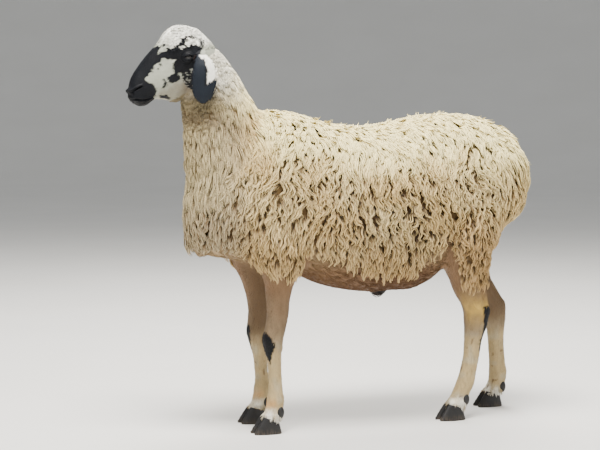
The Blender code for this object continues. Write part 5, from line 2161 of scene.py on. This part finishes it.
@dataclass(frozen=True)
class Studio:
    """The camera at the photograph's angle, soft lights and a pale floor."""

    camera_at: tuple[float, float, float] = (-1.98503, -4.63592, 0.92)
    turn: tuple[float, float, float] = (86.082, 0.0, -22.0)
    lens: float = 105.1
    floor_radius: float = 40.0
    flat_radius: float = 14.0
    floor_rise: float = 26.0

    def camera(self) -> None:
        """Makes the camera."""
        data = bpy.data.cameras.new("camera")
        data.lens, data.sensor_width = self.lens, 36.0
        obj = bpy.data.objects.new("camera", data)
        obj.location = self.camera_at
        obj.rotation_euler = [math.radians(a) for a in self.turn]
        bpy.context.scene.collection.objects.link(obj)
        bpy.context.scene.camera = obj

    def light(
        self, name: str, at: Sequence[float], power: float, size: float, colour: Sequence[float]
    ) -> None:
        """A square lamp at a place, turned towards the middle of the ram."""
        data = bpy.data.lights.new(name, "AREA")
        data.energy, data.size, data.color = power, size, colour
        obj = bpy.data.objects.new(name, data)
        obj.location = at
        obj.rotation_euler = (Vector((0, 0, 0.6)) - Vector(at)).to_track_quat("-Z", "Y").to_euler()
        bpy.context.scene.collection.objects.link(obj)

    def world(self) -> None:
        """A pale, even sky."""
        world = bpy.data.worlds.new("studio")
        world.use_nodes = True
        back = world.node_tree.nodes["Background"]
        back.inputs["Color"].default_value = (*srgb(232, 236, 240), 1.0)
        back.inputs["Strength"].default_value = 0.60
        bpy.context.scene.world = world

    def floor(self) -> None:
        """A floor level with the soles, which curves up far off: z = rise (1 - cos(pi v / 2))."""
        radius = np.concatenate([[2.0, 5.0, 9.0], np.linspace(self.flat_radius, self.floor_radius, 24)])
        v = np.clip((radius - self.flat_radius) / (self.floor_radius - self.flat_radius), 0, 1)
        lift = self.floor_rise * (1 - np.cos(math.pi * v / 2))
        turn, reach = turned(96), radius[:, None]
        rings = stacked(reach * np.cos(turn), reach * np.sin(turn), lift[:, None])
        bowl = lofted(rings)
        open_top = np.any(bowl.tris == len(bowl.points) - 1, axis=1)
        bowl = Surface(bowl.points[:-1], bowl.quads, bowl.tris[~open_top])
        floor = mesh_object("floor", bowl, FloorFinish().material())
        floor.data.flip_normals()

    def build(self) -> None:
        """Sets up everything round the ram."""
        self.camera()
        self.world()
        self.light("key", (-0.8, -1.4, 4.8), 640.0, 2.0, (1.0, 0.97, 0.92))
        self.light("fill", (3.4, -3.6, 2.4), 24.0, 3.0, (0.97, 0.98, 1.0))
        self.light("back", (1.2, 2.4, 4.4), 330.0, 2.4, (1.0, 0.98, 0.94))
        self.floor()


FLESH = (
    "head", "neck", "torso", "tail", "foreleg_left", "foreleg_right", "hindleg_left",
    "hindleg_right", "ear_left", "ear_right", "scrotum", "sheath",
)


def flow_of(body: Body, points: Array, zone: Array) -> Array:
    """Coordinates in which the hair's streaks run along one axis: far apart across, near along."""
    low = (zone == Zone.BELLY.value)[:, None]
    flow = points * np.where(low, (160.0, 900.0, 900.0), (900.0, 900.0, 160.0))
    s, side, t = body.frame.local(points)
    face = stacked(s * 220.0, side * 1000.0, t * 1000.0)
    on_head = np.isin(zone, (Zone.FACE.value, Zone.POLL.value))
    return np.where(on_head[:, None], face, flow)


def main() -> None:
    """Builds the ram and its studio."""
    logging.basicConfig(level=logging.INFO, format="%(name)s: %(message)s")
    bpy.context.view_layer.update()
    Studio().build()
    body = Body()
    hide = Hide.grown(body)
    marks, lie = Markings(body), Lie(body)
    places, zone = hide.surface.points, hide.zone
    skin = mesh_object(
        "skin", hide.surface, SkinFinish().material(), {"flow": flow_of(body, places, zone)},
        {"tint": marks.skin(places, hide.normals, zone)},
    )
    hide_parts(*FLESH)
    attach(skin, "root")
    log.info("skin: %d faces", len(skin.data.polygons))
    draw = np.random.default_rng(SEED)
    for coat in COATS:
        for piece in coat.grown(hide, lie, marks, draw):
            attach(piece, "root")
            log.info("%s: %d faces", piece.name, len(piece.data.polygons))
    wet = EyeFinish().material()
    for side, word in ((-1, "left"), (1, "right")):
        ball_piece = Eyeball(Eye(side)).object(wet)
        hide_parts(f"eye_{word}")
        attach(ball_piece, "root")
    horn = HornFinish().material()
    for leg in body.legs():
        for piece, node in Foot(leg).objects(horn):
            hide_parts(node)
            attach(piece, "root")
    log.info("eyes and claws are in place")


if __name__ == "__main__":
    main()
